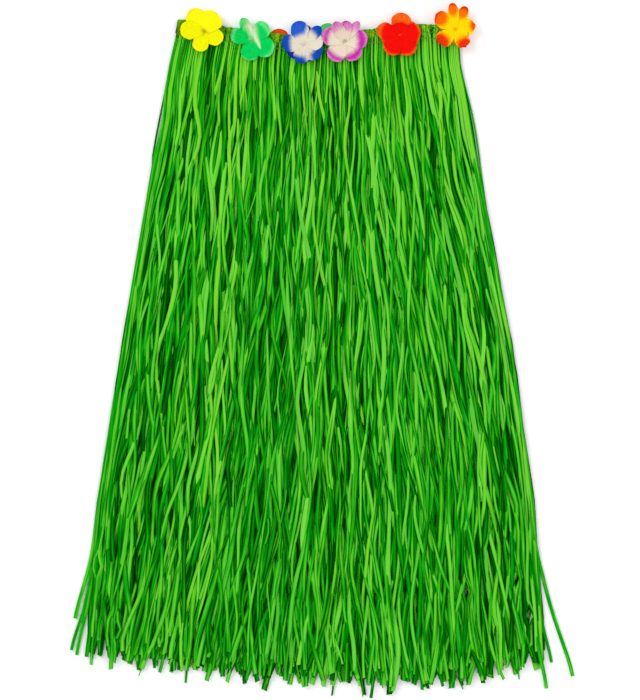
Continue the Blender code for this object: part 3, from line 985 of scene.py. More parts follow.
    def fold(
        self, share: np.ndarray, end: np.ndarray, chance: np.random.Generator
    ) -> tuple[np.ndarray, np.ndarray, np.ndarray]:
        """Run ribbons from behind the band, over its top edge and down the front.

        Args:
            share: Place of each ribbon across the waist.
            end: Station of each cut end.
            chance: Source of their unevenness.

        Returns:
            Stations, how far the ribbon has left the band, and its height on the band.
        """
        count = len(share)
        radius = chance.uniform(*self.fold_radius, count)[:, None]
        crest = (-self.plan.rise(share) + chance.uniform(*self.fold_unevenness, count))[:, None]
        arc = math.pi * radius
        hidden = self.fold_start + arc
        turning = np.linspace(0, 1, self.fold_stations) * hidden
        beyond = np.linspace(0, 1, self.stations - self.fold_stations + 1)[1:]
        run = np.concatenate([turning, hidden + (end[:, None] - crest) * beyond**1.06], axis=1)
        turned = np.clip((run - self.fold_start) / arc, 0, 1)
        before = np.clip(self.fold_start - run, 0, None)
        past = np.clip(run - hidden, 0, None)
        down = crest + before + past - radius * np.sin(math.pi * turned)
        height = self.fold_middle - radius * np.cos(math.pi * turned)
        return down, between(self.leaves_band, past), height

    def paths(
        self, share: np.ndarray, lean: np.ndarray, down: np.ndarray, chance: np.random.Generator
    ) -> np.ndarray:
        """Run the ribbons down the skirt.

        Args:
            share: Place of each ribbon across the waist.
            lean: How far it has moved by its end, as a share of the width.
            down: Its stations.
            chance: Source of their unevenness.

        Returns:
            Places across of all the stations.
        """
        plan = self.plan
        inside = smooth(np.minimum(share, 1 - share) / self.side_room)[:, None]
        loose = plan.looseness(down)
        free = loose * np.linspace(*self.sway_growth, self.stations) * mix(self.side_sway, 1.0, inside)
        across = plan.spread(share[:, None] + lean[:, None] * smooth(down / plan.length) * inside, down)
        across = across + self.pull(across, down, chance) * free
        across = across + self.zigzag(self.waves(down, (1.0, 1.0), self.sway_lengths, chance), chance) * free
        ripples = self.waves(down, self.ripple, self.ripple_lengths, chance)
        across = across + ripples * mix(self.tied, 1.0, loose)
        across = across + self.cross(share, down, chance)
        inset = chance.uniform(*self.side_inset, len(share))[:, None]
        across = np.clip(across, plan.left(down) + inset + self.hollow(down), plan.right(down) - inset)
        for gap in self.gaps:
            across = gap.keep_out(across, plan.hem(share)[:, None] - down)
        return across

    def pull(self, across: np.ndarray, down: np.ndarray, chance: np.random.Generator) -> np.ndarray:
        """Shift across that draws neighbouring ribbons together into bunches."""
        shift = np.zeros_like(across)
        for waves, drift, size in self.bunches:
            phase = chance.uniform(0, FULL_TURN, 2)
            drifted = phase[0] + np.sin(down * drift * 4 + phase[1])
            shift += size * np.sin(across / self.bunch_span * waves * math.pi + drifted)
        return shift

    def zigzag(self, wave: np.ndarray, chance: np.random.Generator) -> np.ndarray:
        """Turn waves into runs that are nearly straight between their bends."""
        size = chance.uniform(*self.sway, len(wave))[:, None]
        return size * np.arcsin(self.bend * wave) / math.asin(self.bend)

    def hollow(self, down: np.ndarray) -> np.ndarray:
        """How far the left side draws in, where a single strand spans it."""
        along = np.clip((down - self.hollow_from) / self.hollow_length, 0, 1)
        return self.hollow_depth * np.sin(math.pi * along)

    def cross(self, share: np.ndarray, down: np.ndarray, chance: np.random.Generator) -> np.ndarray:
        """Shift across of the few ribbons that stray over their neighbours."""
        count = len(share)
        length = self.plan.length
        crossing = chance.random(count) < self.crosser_chance
        leftwards = chance.random(count) < mix(*self.leans_left, between(self.leans_over, share))
        room = smooth(np.where(leftwards, share, 1 - share) / self.crosser_room)
        size = chance.uniform(*self.crosser_sizes, count) * self.crosser_reach * room * crossing
        size = size * np.where(leftwards, -1, 1)
        begin = chance.uniform(*self.crosser_from, count)[:, None]
        crossed = size[:, None] * np.clip((down - begin) / (length - begin), 0, 1) ** self.crosser_bow
        swept = self.sweep_reach * np.sin(math.pi * np.clip(share / self.sweep_share, 0, 1))
        sweeping = np.clip((down - self.sweep_from) / (length - self.sweep_from), 0, 1) ** self.sweep_bow
        return crossed - swept[:, None] * sweeping

    def twists(self, down: np.ndarray, chance: np.random.Generator) -> tuple[np.ndarray, np.ndarray]:
        """Turn of each ribbon about its length, and how far it stands on edge in a flip."""
        count = len(down)
        tilt = chance.normal(0, self.tilt_spread, count)[:, None]
        tilt = self.tilt * (tilt + self.waves(down, self.tilt_wave, self.tilt_lengths, chance))
        flips = (chance.random(count) < self.flip_chance)[:, None]
        begin = chance.uniform(*self.flip_from, count)[:, None]
        length = chance.uniform(*self.flip_length, count)[:, None]
        turned = smooth((down - begin) / length) * flips
        hand = np.sign(chance.uniform(-1, 1, count))[:, None]
        held = mix(self.tied_tilt, 1.0, self.plan.looseness(down))
        return tilt * held + math.pi * turned * hand, np.sin(math.pi * turned)

    def heights(
        self,
        level: np.ndarray,
        share: np.ndarray,
        down: np.ndarray,
        across: np.ndarray,
        chance: np.random.Generator,
    ) -> np.ndarray:
        """Height of each ribbon's middle, weaving up and down through its neighbours.

        Args:
            level: Place of each ribbon in its half's stack.
            share: Its place across the waist.
            down: Its stations.
            across: Places across of the stations.
            chance: Source of their unevenness.

        Returns:
            Heights of all the stations.
        """
        plan = self.plan
        from_side = np.minimum(across - plan.left(down), plan.right(down) - across)
        inside = smooth(from_side / self.side_slope + self.side_start)
        at_end = smooth((down - plan.hem(share)[:, None]) / self.end_slope + 1)
        settled = mix(self.side_height, 1.0, inside) * mix(1.0, self.end_height, at_end)
        woven = self.waves(down, (0.4 * self.weave, self.weave), self.weave_lengths, chance)
        woven = woven + mix(*self.loose_heights, level)[:, None]
        return mix(mix(*self.root_heights, level)[:, None], woven * settled, plan.looseness(down))

    def toned(
        self,
        level: np.ndarray,
        share: np.ndarray,
        down: np.ndarray,
        end: np.ndarray,
        on_edge: np.ndarray,
        chance: np.random.Generator,
    ) -> np.ndarray:
        """Tone all along each ribbon, with painted shade that darkens it the deeper it lies.

        Args:
            level: Place of each ribbon in its half's stack.
            share: Its place across the waist.
            down: Its stations.
            end: Station of its cut end.
            on_edge: How far it stands on edge.
            chance: Source of their unevenness.

        Returns:
            Tones from about 0 to 1.
        """
        count = len(share)
        past_end = down - end[:, None]
        # Painted shade: the lower a ribbon lies in the stack, the darker its tone.
        tone = mix(*self.tones, level)[:, None] + chance.normal(0, self.tone_spread, count)[:, None]
        tone = tone + self.waves(down, self.tone_wave, self.tone_wave_lengths, chance)
        # Painted shade where the ribbon stands on edge.
        tone = tone - self.on_edge_shade * on_edge
        # Painted light: lighter at the cut end.
        tone = tone + self.cut_end_light * smooth(past_end / self.cut_end + 1) * chance.random(count)[:, None]
        # Painted light: lighter along the left side.
        tone = tone + self.left_side_light * (1 - smooth(share / self.left_strip))[:, None]
        # Painted light: lighter towards the tip.
        tone = tone + self.tip_light * smooth(past_end / self.tip_length + 1)
        tone = tone + mix(*self.tone_drift, np.clip(down / self.plan.length, 0, 1))
        tone = tone - self.dull_hem * np.clip(tone - self.bright, 0, None) * between(self.dull_span, down)
        return tone + self.top_contrast * (tone - self.middling) * (1 - between(self.top_span, down))

    @staticmethod
    def waves(down: np.ndarray, sizes: Span, lengths: Span, chance: np.random.Generator) -> np.ndarray:
        """A slow wave along each ribbon, of its own size, length and start."""
        size = chance.uniform(*sizes, len(down))[:, None]
        length = chance.uniform(*lengths, len(down))[:, None]
        return size * np.sin(FULL_TURN * (down / length + chance.random(len(down))[:, None]))

    def lay_strays(self, chance: np.random.Generator) -> Strips:
        """Lay the ribbons that leave the sides."""
        plan = self.plan
        sizes = [(stray.share, stray.reach, stray.width, stray.tone) for stray in self.strays]
        share, end, width, tone = np.array(sizes).T
        start = plan.band_height - plan.rise(share)
        down = start[:, None] + (end - start)[:, None] * np.linspace(0, 1, self.stations)
        out = np.stack([stray.out(row) for stray, row in zip(self.strays, down)])
        across = plan.spread(share[:, None], down) + out + self.hollow(down) * (share[:, None] < 0.5)
        loose = plan.looseness(down)
        past_side = np.maximum(plan.left(down) - across, across - plan.right(down))
        outside = smooth(past_side / self.stray_slope + 0.6)
        height = mix(mix(*self.root_heights, self.stray_level), mix(*self.stray_heights, outside), loose)
        return Strips(
            centre=plan.place(across, down, height + plan.lift(across, down)),
            width=width[:, None] * mix(self.root_width, 1.0, loose),
            thickness=self.thickness,
            twist=self.waves(down, (0.1, 0.4), (0.2, 0.4), chance),
            crease=self.stray_crease,
            tone=tone,
            columns=self.columns,
            atlas_rows=1,
        )


@dataclass
class Waistband:
    """The elastic loop, pressed flat, with bunches of raffia folded over it and sewn down."""

    plan: SkirtPlan
    raffia: RaffiaFinish
    elastic: ElasticFinish
    thread: ThreadFinish
    seed: int = 23
    slot: str = "waistband"
    columns: int = 289
    rows: int = 9
    gathers: int = 64
    wall: float = 0.0008
    front_height: float = 0.0048
    back_height: float = 0.0024
    gather_depth: float = 0.0005
    end_inset: float = 0.0004  # of the walls, within the raffia
    flat_width: float = 0.353
    flat_height: float = 0.022
    bare_patch: Span = (0.132, 0.144)  # across, where the elastic shows

    bunches: int = 66
    bunch_spread: float = 0.995  # share of the band's width that they fill
    bunch_jitter: float = 0.30  # of their places, in steps between them
    bunch_shift: float = 0.0016  # to either side, at the lower end
    bunch_twist: float = 0.08
    bunch_width: Span = (0.0060, 0.0115)
    bunch_neck: float = 0.62  # of that width, at the lower end
    bunch_wall: float = 0.0005
    bunch_front: Span = (0.008, 0.013)
    bunch_back: Span = (0.010, 0.020)
    bare_front: float = 0.1  # of a bunch's front, over the bare patch
    corner_share: float = 0.008  # of the width, where the bunches cover the whole front of the band
    corner_front: float = 0.0195
    bunch_stations: int = 34
    bunch_columns: int = 13
    bunch_floor: float = 0.0018
    bunch_drop: float = 0.0030  # of the lower end, pressed under the loose raffia
    bunch_curl: float = -0.0006
    bunch_tone: Span = (0.56, 0.12)  # middle and spread
    bunch_hue: Span = (0.90, 0.20)
    bunch_shadow: float = 0.08
    bunch_shadow_span: Span = (0.004, 0.010)  # past the top edge
    # painted shade towards the edges of each bunch
    edge_shade: float = 0.25
    pleats: Span = (2.2, 3.4)
    pleat_depth: float = 0.00045
    crest: float = 0.0006
    crest_unevenness: Span = (-0.0012, 0.0010)
    turn_middle: float = 0.0040
    turn_radius: float = 0.0031
    turn_step: float = 0.0004  # by which the outer layer turns wider
    turn_unevenness: float = 0.0003

    stitch_rows: Span = (0.0066, 0.0140)  # under the top edge
    stitch_pitch: float = 0.0031
    stitch_reach: float = 0.0011
    stitch_height: float = 0.0083
    sewn_length: float = 0.345
    thread_width: float = 0.00055
    thread_height: float = 0.0005

    def build_wall(self, name: str, node: str, height: float) -> bpy.types.Object:
        """Make one wall of the gathered elastic."""
        share = np.linspace(0, 1, self.columns)[None, :]
        fall = np.linspace(1, 0, self.rows)[:, None]
        down = fall * self.plan.band_height - self.plan.rise(share)
        across = self.plan.spread(share, down, -self.end_inset)
        gathered = np.sin(FULL_TURN * self.gathers * share + 1.3 * np.sin(9 * share))
        wave = gathered * (0.7 + 0.3 * np.cos(3 * fall))
        surface = height + self.gather_depth * wave + self.plan.lift(across, down)
        points = self.plan.place(across, down, surface)[None]
        fibre = np.stack(np.broadcast_arrays(across, down, np.zeros_like(across)), axis=-1)[None]
        wall = Sheets(points, self.wall, {"fibre": fibre}).build(name, self.elastic.material())
        return settle(wall, self.slot, node)

    def build_bunches(self, name: str, layer: int) -> bpy.types.Object:
        """Make the bunches of raffia that fold over the top edge.

        Args:
            name: Name of the piece.
            layer: 0 for the outer layer and 1 for the inner one.

        Returns:
            The bunches of that layer, riding on the body.
        """
        plan = self.plan
        chance = np.random.default_rng(self.seed + layer)
        count = self.bunches
        jitter = chance.uniform(-self.bunch_jitter, self.bunch_jitter, count)
        share = np.clip((np.arange(count) + jitter + 0.5 * layer) / (count - 1), 0, 1)
        across = plan.spread(share, -plan.rise(share)) * self.bunch_spread
        covers = (across < self.bare_patch[0]) | (across > self.bare_patch[1])
        front = (chance.uniform(*self.bunch_front, count) * np.where(covers, 1.0, self.bare_front))[:, None]
        front = np.where(share[:, None] < self.corner_share, self.corner_front, front)
        back = chance.uniform(*self.bunch_back, count)[:, None]
        outer = chance.uniform(-self.turn_unevenness, self.turn_unevenness, count)[:, None]
        outer = outer + self.turn_radius + self.turn_step * (1 - layer)
        arc = math.pi * outer
        travel = np.linspace(0, 1, self.bunch_stations) * (front + arc + back)
        turned = np.clip((travel - front) / arc, 0, 1)
        past = np.clip(travel - front - arc, 0, None)
        before = np.clip(front - travel, 0, None)
        crest = (chance.uniform(*self.crest_unevenness, count) + self.crest - plan.rise(share))[:, None]
        down = crest + before + past - outer * np.sin(math.pi * turned)
        height = self.turn_middle + outer * np.cos(math.pi * turned)
        height = height - self.bunch_drop * smooth((before - 0.3 * front) / (0.7 * front)) * (before > 0)
        fan = plan.spread(share[:, None], down) - plan.spread(share[:, None], crest)
        sideways = across[:, None] + fan
        shift = chance.uniform(-self.bunch_shift, self.bunch_shift, count)[:, None]
        sideways = sideways + shift * before / front
        towards_end = smooth(before / front)
        width = chance.uniform(*self.bunch_width, count)[:, None] * mix(1.0, self.bunch_neck, towards_end)
        height = np.maximum(height, self.bunch_floor) + plan.lift(sideways, down)
        wander = 1.2 * np.sin(down * 260 + share[:, None] * 90)
        shadow = self.bunch_shadow * between(self.bunch_shadow_span, before)
        strips = Strips(
            centre=plan.place(sideways, down, height),
            width=width,
            thickness=self.bunch_wall,
            twist=chance.uniform(-self.bunch_twist, self.bunch_twist, count),
            pleats=chance.uniform(*self.pleats),
            pleat_depth=self.pleat_depth * mix(0.6, 1.0, towards_end),
            pleat_phase=chance.uniform(0, FULL_TURN, count)[:, None] + wander,
            curl=self.bunch_curl,
            tone=chance.normal(*self.bunch_tone, count)[:, None] - shadow,
            hue=np.clip(chance.normal(*self.bunch_hue, count), -1, 1),
            edge_shade=self.edge_shade,
            crimp=1.0,
            underside=(0.6, 0.0, -0.6),
            columns=self.bunch_columns,
            atlas_rows=1,
        )
        return settle(strips.build(name, self.raffia.material()), self.slot)

    def build_stitches(self) -> bpy.types.Object:
        """Make two rows of zigzag stitches along the front of the band."""
        plan = self.plan
        points = np.arange(0, 1, self.stitch_pitch / 2 / self.sewn_length)
        share = np.repeat(points, 4) + np.tile([0, 0.25, 0.5, 0.75], len(points)) * (points[1] - points[0])
        side = np.arange(len(points)) % 2 * 2.0 - 1
        corner = np.interp(np.arange(len(share)) / 4, np.arange(len(points)), side)
        rows = []
        for row, fall in enumerate(self.stitch_rows):
            down = fall - plan.rise(share) + self.stitch_reach * corner
            across = plan.spread(share, down)
            height = self.stitch_height + 0.0003 * np.sin(share * 700 + row) + plan.lift(across, down)
            rows.append(plan.place(across, down, height))
        strips = sewn(np.stack(rows), self.thread_width, self.thread_height)
        return settle(strips.build("waistband_stitches", self.thread.material()), self.slot)


@dataclass(frozen=True)
class Petal:
    """One petal of a flower."""

    turn: float  # direction from +X, in degrees
    reach: float  # share of the flower's radius
    width: float = 0.43  # half the width, as a share of the radius
    order: float = 0.0  # place in the pile of petals
    roll: float = 0.0  # turn of the tip out of the petal, in degrees
    roll_from: float = 0.72
    heart: float = 0.2  # how far the heart's dye reaches, as a share of the length
    rim: float = 0.86  # where the rim's dye starts
    tint: float = 0.0  # of the rim's dye over all of it
    ruffle: float = 0.0006
    fold: float = 0.0  # height of its right edge, turned up
    shade: float = 0.0  # painted shade in its creases


@dataclass
class Flower:
    """A cloth flower tacked to the band by a knot of thread."""

    plan: SkirtPlan
    name: str
    slot: str
    place: Span  # across and down
    radius: float
    height: float  # of its underside at the middle
    petals: tuple[Petal, ...]
    finish: PetalFinish
    knot: ThreadFinish | None = None
    rests_on: str = "waistband_bunches"
    slope: float = 3.0  # of the petals by the middle, in degrees
    cup: float = 9.0
    streaks: tuple = ()  # ends and half widths of pale stripes, from the middle
    streak_strength: float = 0.84
    streak_fall: float = 0.58  # of that strength, from its middle line to its edge
    star: float = 0.10  # how much further the heart's dye runs along the middle of a petal
    rows: int = 25
    columns: int = 21
    cloth: float = 0.00035
    cloth_share: float = 0.62  # of the square that it is cut from
    neck: float = 0.52
    widest_at: float = 0.60
    row_bias: float = 1.5  # how much closer the rows lie towards the tip
    wavy_edge: float = 0.030
    edge_waves: float = 5.1 * math.pi
    ruffles: tuple = ((2.6, 2), (6.5, 4))  # waves across, and how late they grow along the petal
    fold_from: float = 0.35
    curl: float = 0.0008
    pile: float = 0.00035  # between one petal and the next in the pile
    dimple: float = 0.0010
    dimple_radius: float = 0.0035
    creases: float = 0.00022
    crease_waves: float = 4.5 * math.pi
    heart_blur: float = 0.34
    rim_blur: float = 0.22
    rim_bow: float = 0.16
    side_rim: float = 0.25
    side_rim_from: float = 0.80
    knot_loop: float = 0.0013
    knot_height: float = 0.0014
    thread_width: float = 0.0005
    seed: int = 5

    def petal(self, petal: Petal, chance: np.random.Generator) -> dict[str, np.ndarray]:
        """Shape one petal.

        Args:
            petal: Its sizes.
            chance: Source of its unevenness.

        Returns:
            Its points, dyes with painted crease shade, and cloth places on a grid, rows from the middle to
            the tip.
        """
        u = np.linspace(-1, 1, self.columns)[None, :]
        v = (1 - (1 - np.linspace(0, 1, self.rows)) ** self.row_bias)[:, None]
        length = petal.reach * self.radius
        neck = mix(self.neck, 1.0, smooth(v / self.widest_at))
        tip = np.sqrt(np.clip(1 - ((v - self.widest_at) / (1.0 - self.widest_at)) ** 2, 0.0004, 1))
        outline = np.where(v < self.widest_at, neck, tip)
        edge = 1 + self.wavy_edge * np.sin(self.edge_waves * v + chance.uniform(0, FULL_TURN))
        across = u * petal.width * self.radius * outline * edge
        rolled = math.radians(petal.roll) * smooth((v - petal.roll_from) / (1 - petal.roll_from))
        angle = np.radians(self.slope + self.cup * v) + rolled
        step = np.gradient(v[:, 0])[:, None] * length
        along = np.cumsum(np.cos(angle) * step, axis=0) - np.cos(angle[0]) * step[0]
        rise = np.cumsum(np.sin(angle) * step, axis=0) - np.sin(angle[0]) * step[0]
        phase = chance.uniform(0, FULL_TURN, 3)
        ruffled = [np.sin(waves * u + start) * v**late for (waves, late), start in zip(self.ruffles, phase)]
        lifted = petal.ruffle * sum(ruffled)
        creased = np.cos(self.crease_waves * u * (0.6 + 0.4 * v) + phase[2])
        lifted = lifted + self.creases * creased * smooth(v * 4) * (1 - 0.5 * v)
        lifted = lifted + petal.fold * between((self.fold_from, 1.0), u) * smooth(v * 2)
        lifted = lifted + self.curl * u**2 * v
        forward = along - np.sin(angle) * lifted
        up = rise + np.cos(angle) * lifted + petal.order * self.pile * (0.6 + 0.4 * v)
        direction = math.radians(petal.turn)
        x = across * math.sin(direction) + forward * math.cos(direction)
        y = -across * math.cos(direction) + forward * math.sin(direction)
        up = up - self.dimple * np.exp(-((np.hypot(x, y) / self.dimple_radius) ** 2))
        heart = 0.5 + (petal.heart - v * (1 + self.star * u**2)) / self.heart_blur
        for streak in self.streaks:
            heart = np.maximum(heart, self.streak_share(streak, x, y))
        at_side = np.clip(np.abs(u) - self.side_rim_from, 0, 1)
        reach = v * (1 + self.rim_bow * u**2) + self.side_rim * at_side * smooth(v * 3)
        rim = np.maximum(0.5 + (reach - petal.rim) / self.rim_blur, petal.tint)
        # Painted shade along the creases, growing towards the tip.
        shade = petal.shade * (0.5 - 0.5 * np.cos(self.crease_waves * u + phase[2])) * v
        return {
            "points": self.plan.place(self.place[0] + x, self.place[1] - y, self.height + up),
            "dye": np.stack(np.broadcast_arrays(heart.clip(-1, 2), rim.clip(-1, 2), shade), axis=-1),
            "cloth": np.stack(np.broadcast_arrays(across, v * length, float(petal.turn)), axis=-1),
        }

    def streak_share(self, streak: tuple, x: np.ndarray, y: np.ndarray) -> np.ndarray:
        """Strength of a pale stripe at places from the middle."""
        x0, y0, x1, y1, first_half, last_half = streak
        length = math.hypot(x1 - x0, y1 - y0)
        along = ((x - x0) * (x1 - x0) + (y - y0) * (y1 - y0)) / length
        beside = ((x - x0) * (y1 - y0) - (y - y0) * (x1 - x0)) / length
        past = np.maximum(-along, along - length).clip(0)
        half = mix(first_half, last_half, np.clip(along / length, 0, 1))
        return self.streak_strength - self.streak_fall * np.hypot(beside, past) / half

    def build(self) -> bpy.types.Object:
        """Make the layer of petals as one cut of cloth, with its knot if it has one.

        Returns:
            The layer of petals.
        """
        chance = np.random.default_rng(self.seed)
        grids = [self.petal(petal, chance) for petal in self.petals]
        stacked = {key: np.stack([grid[key] for grid in grids]) for key in grids[0]}
        points = stacked.pop("points")
        layer = Sheets(points, self.cloth, stacked).build(self.name + "_cloth", self.finish.material())
        settle(layer, self.slot, self.name)
        with_pieces = [self.build_knot()] if self.knot else []
        return layer

    def build_knot(self) -> bpy.types.Object:
        """Make the small knot of thread that tacks the flower down."""
        turn = np.linspace(0, FULL_TURN, 90)
        loop = self.knot_loop + 0.0006 * np.cos(7 * turn)
        x = loop * np.cos(4 * turn)
        y = loop * np.sin(4 * turn) * 0.8 + 0.0004 * np.sin(3 * turn)
        over = self.knot_height + self.pile * len(self.petals) * 0.6 - self.dimple
        z = self.height + over + 0.0002 * np.sin(9 * turn)
        centre = self.plan.place(self.place[0] + x, self.place[1] - y, z)[None]
        strips = sewn(centre, self.thread_width, self.thread_width)
        return settle(strips.build(self.name + "_knot", self.knot.material()), self.slot)


def sewn(centre: np.ndarray, width: float, thickness: float) -> Strips:
    """Runs of thread that lie level with the floor."""
    widths = np.full(centre.shape[:2], width)
    return Strips(centre, widths, thickness, facing=Facing.LEVEL, columns=3, atlas_rows=1)


def ring_of_petals(turns: tuple, climb: float = 1.0, **sizes: float) -> tuple[Petal, ...]:
    """Petals that are all alike, each lying higher in the pile than the one before it."""
    return tuple(Petal(turn, 1.0, order=climb * number, **sizes) for number, turn in enumerate(turns))


@dataclass(frozen=True)
class Underlayer:
    """Second layer of petals, under a front flower."""

    petals: tuple[Petal, ...]
    finish: PetalFinish
    size: float = 0.88  # share of the upper layer's radius
    step: float = 0.0020  # by which it raises the upper layer
    seed_step: int = 50


def whole_flower(
    plan: SkirtPlan, colour: str, place: Span, radius: float, *petals: Petal,
    under: Underlayer | None = None, raised: float = 0.0, seed: int = 5, **looks: object,
) -> list[Flower]:
    """A front flower and, under it, its second layer of petals if it has one.

    Args:
        plan: Where the skirt runs.
        colour: Its colour, as its node and its slot name it.
        place: Across and down.
        radius: From the middle to a petal's tip.
        petals: Upper petals.
        under: Its second layer.
        raised: Over the band, where it lies on its neighbour.
        seed: Source of its unevenness.
        looks: Finish, knot, streaks and star of the upper layer.

    Returns:
        The layers, the lowest first.
    """
    name, slot = "flower_" + colour, "petals_" + colour
    height = ON_BAND + raised + float(plan.lift(np.array(place[0]), np.array(place[1])))
    if not under:
        return [Flower(plan, name, slot, place, radius, height, petals, seed=seed, **looks)]
    name_under = name + "_under"
    lower = Flower(
        plan, name_under, slot, place, radius * under.size, height, under.petals, under.finish,
        seed=seed + under.seed_step,
    )
    upper = Flower(
        plan, name, slot, place, radius, height + under.step, petals,
        rests_on=name_under + "_cloth", seed=seed, **looks,
    )
    return [lower, upper]


def front_flowers(plan: SkirtPlan) -> list[Flower]:
    """The six flowers along the front of the band, from the left."""
    yellow = whole_flower(
        plan, "yellow", (-0.1436, -0.0090), 0.0275,
        Petal(54, 0.99, width=0.52, order=4, heart=0.06, rim=0.93, tint=0.7, shade=0.25),
        Petal(123, 1.13, width=0.44, order=2, heart=0.06, rim=0.95, tint=0.7, shade=0.2),
        Petal(178, 1.09, width=0.42, order=3, heart=0.06, rim=0.92, shade=0.25),
        Petal(256, 0.99, width=0.37, order=1, heart=0.06, rim=0.88, shade=0.3),
        Petal(329, 0.98, width=0.38, order=0, heart=0.06, rim=0.88, shade=0.3),
        finish=PetalFinish(
            "yellow_cloth", (200, 186, 8), (236, 238, 0), (255, 246, 12), (222, 200, 0), bleed=0.08
        ),
        knot=ThreadFinish("yellow_thread", (206, 198, 30)),
        seed=7,
    )
    green = whole_flower(
        plan, "green", (-0.0847, 0.0012), 0.0280,
        Petal(42, 0.96, width=0.40, order=3, heart=-0.04, rim=0.76, shade=0.3),
        Petal(116, 1.02, width=0.25, order=4, heart=0.02, rim=0.82, fold=0.0004, shade=0.4),
        Petal(168, 0.98, width=0.36, order=2, heart=-0.04, rim=0.84, shade=0.5),
        Petal(262, 0.99, width=0.41, order=0, heart=-0.10, rim=1.00),
        Petal(326, 1.14, width=0.45, order=1, heart=-0.04, rim=0.90, shade=0.2),
        finish=PetalFinish(
            "green_cloth", (222, 230, 190), (0, 206, 88), (104, 230, 134), (0, 158, 58), bleed=0.14
        ),
        knot=ThreadFinish("green_thread", (150, 214, 150)),
        streaks=((-0.0020, 0.0155, 0.0106, -0.0120, 0.0088, 0.0008),),
        seed=11,
    )
    blue = whole_flower(
        plan, "blue", (-0.0215, 0.0070), 0.0275,
        Petal(8, 0.90, width=0.38, order=1.6, heart=1.6, rim=1.2, ruffle=0.0002),
        Petal(42, 1.09, width=0.26, order=3, heart=0.62, rim=1.2),
        Petal(106, 1.04, width=0.40, order=4, heart=0.40, rim=1.2, tint=0.6, fold=0.0012),
        Petal(180, 1.00, width=0.40, order=2, heart=0.60, rim=1.2, shade=0.2),
        Petal(262, 0.92, width=0.38, order=1, heart=0.66, rim=1.2, shade=0.3),
        Petal(326, 0.98, width=0.46, order=0, heart=0.58, rim=1.2, ruffle=0.0003, shade=0.3),
        finish=PetalFinish(
            "blue_cloth", (225, 216, 194), (12, 76, 180), (44, 102, 220), (8, 44, 140), bleed=0.10
        ),
        knot=ThreadFinish("blue_thread", (240, 232, 212)),
        streaks=(
            (0.0010, -0.0080, 0.0078, -0.0215, 0.0075, 0.0050),
            (0.0030, 0.0080, 0.0073, 0.0215, 0.0050, 0.0042),
        ),
        under=Underlayer(
            ring_of_petals((10, 88, 219, 291), climb=0.4, width=0.42, heart=-0.5, rim=1.3, ruffle=0.0002),
            PetalFinish("blue_under_cloth", (12, 46, 140), (10, 50, 160), (40, 90, 200), (6, 24, 90)),
        ),
        seed=13,
    )
    violet = whole_flower(
        plan, "violet", (0.0292, 0.0036), 0.0295,
        Petal(4, 0.98, width=0.40, order=2, heart=0.56, rim=0.90),
        Petal(52, 1.00, width=0.20, order=4, heart=0.62, rim=0.50, ruffle=0.0012, shade=0.2),
        Petal(84, 0.84, width=0.28, order=5, heart=0.58, rim=0.60, ruffle=0.0014, shade=0.6),
        Petal(120, 0.90, width=0.26, order=6, heart=0.62, rim=0.60, ruffle=0.0014, shade=0.6),
        Petal(164, 1.03, width=0.38, order=3, heart=0.68, rim=0.88),
        Petal(236, 1.02, width=0.40, order=1, heart=0.70, rim=0.92),
        Petal(303, 0.98, width=0.40, order=0, heart=0.60, rim=0.91),
        finish=PetalFinish(
            "violet_cloth", (228, 214, 190), (196, 44, 168), (224, 142, 200), (168, 28, 136), bleed=0.20
        ),
        knot=ThreadFinish("violet_thread", (190, 196, 180)),
        raised=0.0012,
        seed=17,
    )
    red = whole_flower(
        plan, "red", (0.0970, -0.0036), 0.0280,
        Petal(8, 0.94, width=0.42, order=3, heart=-0.5, rim=0.92, shade=0.3),
        Petal(86, 0.99, width=0.44, order=0, heart=-0.5, rim=0.60, tint=0.72),
        Petal(86, 0.56, width=0.36, order=2, heart=-0.5, rim=1.1, shade=0.5),
        Petal(166, 1.08, width=0.38, order=1, heart=-0.5, rim=0.80, shade=0.3),
        Petal(238, 1.04, width=0.41, order=4, heart=-0.5, rim=0.92, shade=0.5),
        Petal(301, 1.04, width=0.41, order=2, heart=-0.5, rim=0.92, shade=0.5),
        finish=PetalFinish("red_cloth", (255, 60, 20), (242, 8, 0), (250, 104, 14), (204, 0, 0)),
        knot=ThreadFinish("red_thread", (255, 70, 20)),
        under=Underlayer(
            ring_of_petals((30, 72, 200, 272, 330), width=0.42, heart=-0.5, rim=0.6, tint=0.6),
            PetalFinish("red_under_cloth", (255, 90, 20), (246, 44, 4), (255, 104, 24), (214, 30, 4)),
        ),
        seed=19,
    )
    orange = whole_flower(
        plan, "orange", (0.1650, -0.0115), 0.0285,
        Petal(8, 0.94, width=0.34, order=2, heart=0.66, rim=0.80, roll=50, roll_from=0.58),
        Petal(64, 1.06, width=0.24, order=3, heart=0.46, rim=0.90, ruffle=0.0012, shade=0.3),
        Petal(98, 1.12, width=0.24, order=5, heart=0.48, rim=0.92, shade=0.3),
        Petal(
            147, 1.10, width=0.36, order=4, heart=0.42, rim=0.90, tint=0.3, roll=24, roll_from=0.6, shade=0.3
        ),
        Petal(222, 1.10, width=0.36, order=1, heart=0.42, rim=0.54, roll=60, roll_from=0.70),
        Petal(299, 1.02, width=0.32, order=0, heart=0.44, rim=0.56, roll=56, roll_from=0.70),
        finish=PetalFinish("orange_cloth", (252, 218, 0), (250, 118, 0), (234, 40, 2), (236, 78, 0)),
        knot=ThreadFinish("orange_thread", (255, 220, 10)),
        star=-0.4,
        under=Underlayer(
            ring_of_petals((38, 126, 186, 262, 330), width=0.40, heart=0.3, rim=0.5, tint=0.4),
            PetalFinish("orange_under_cloth", (255, 200, 0), (255, 160, 0), (252, 128, 2), (244, 100, 0)),
            size=0.66,
        ),
        seed=23,
    )
    return [*yellow, *green, *blue, *violet, *red, *orange]


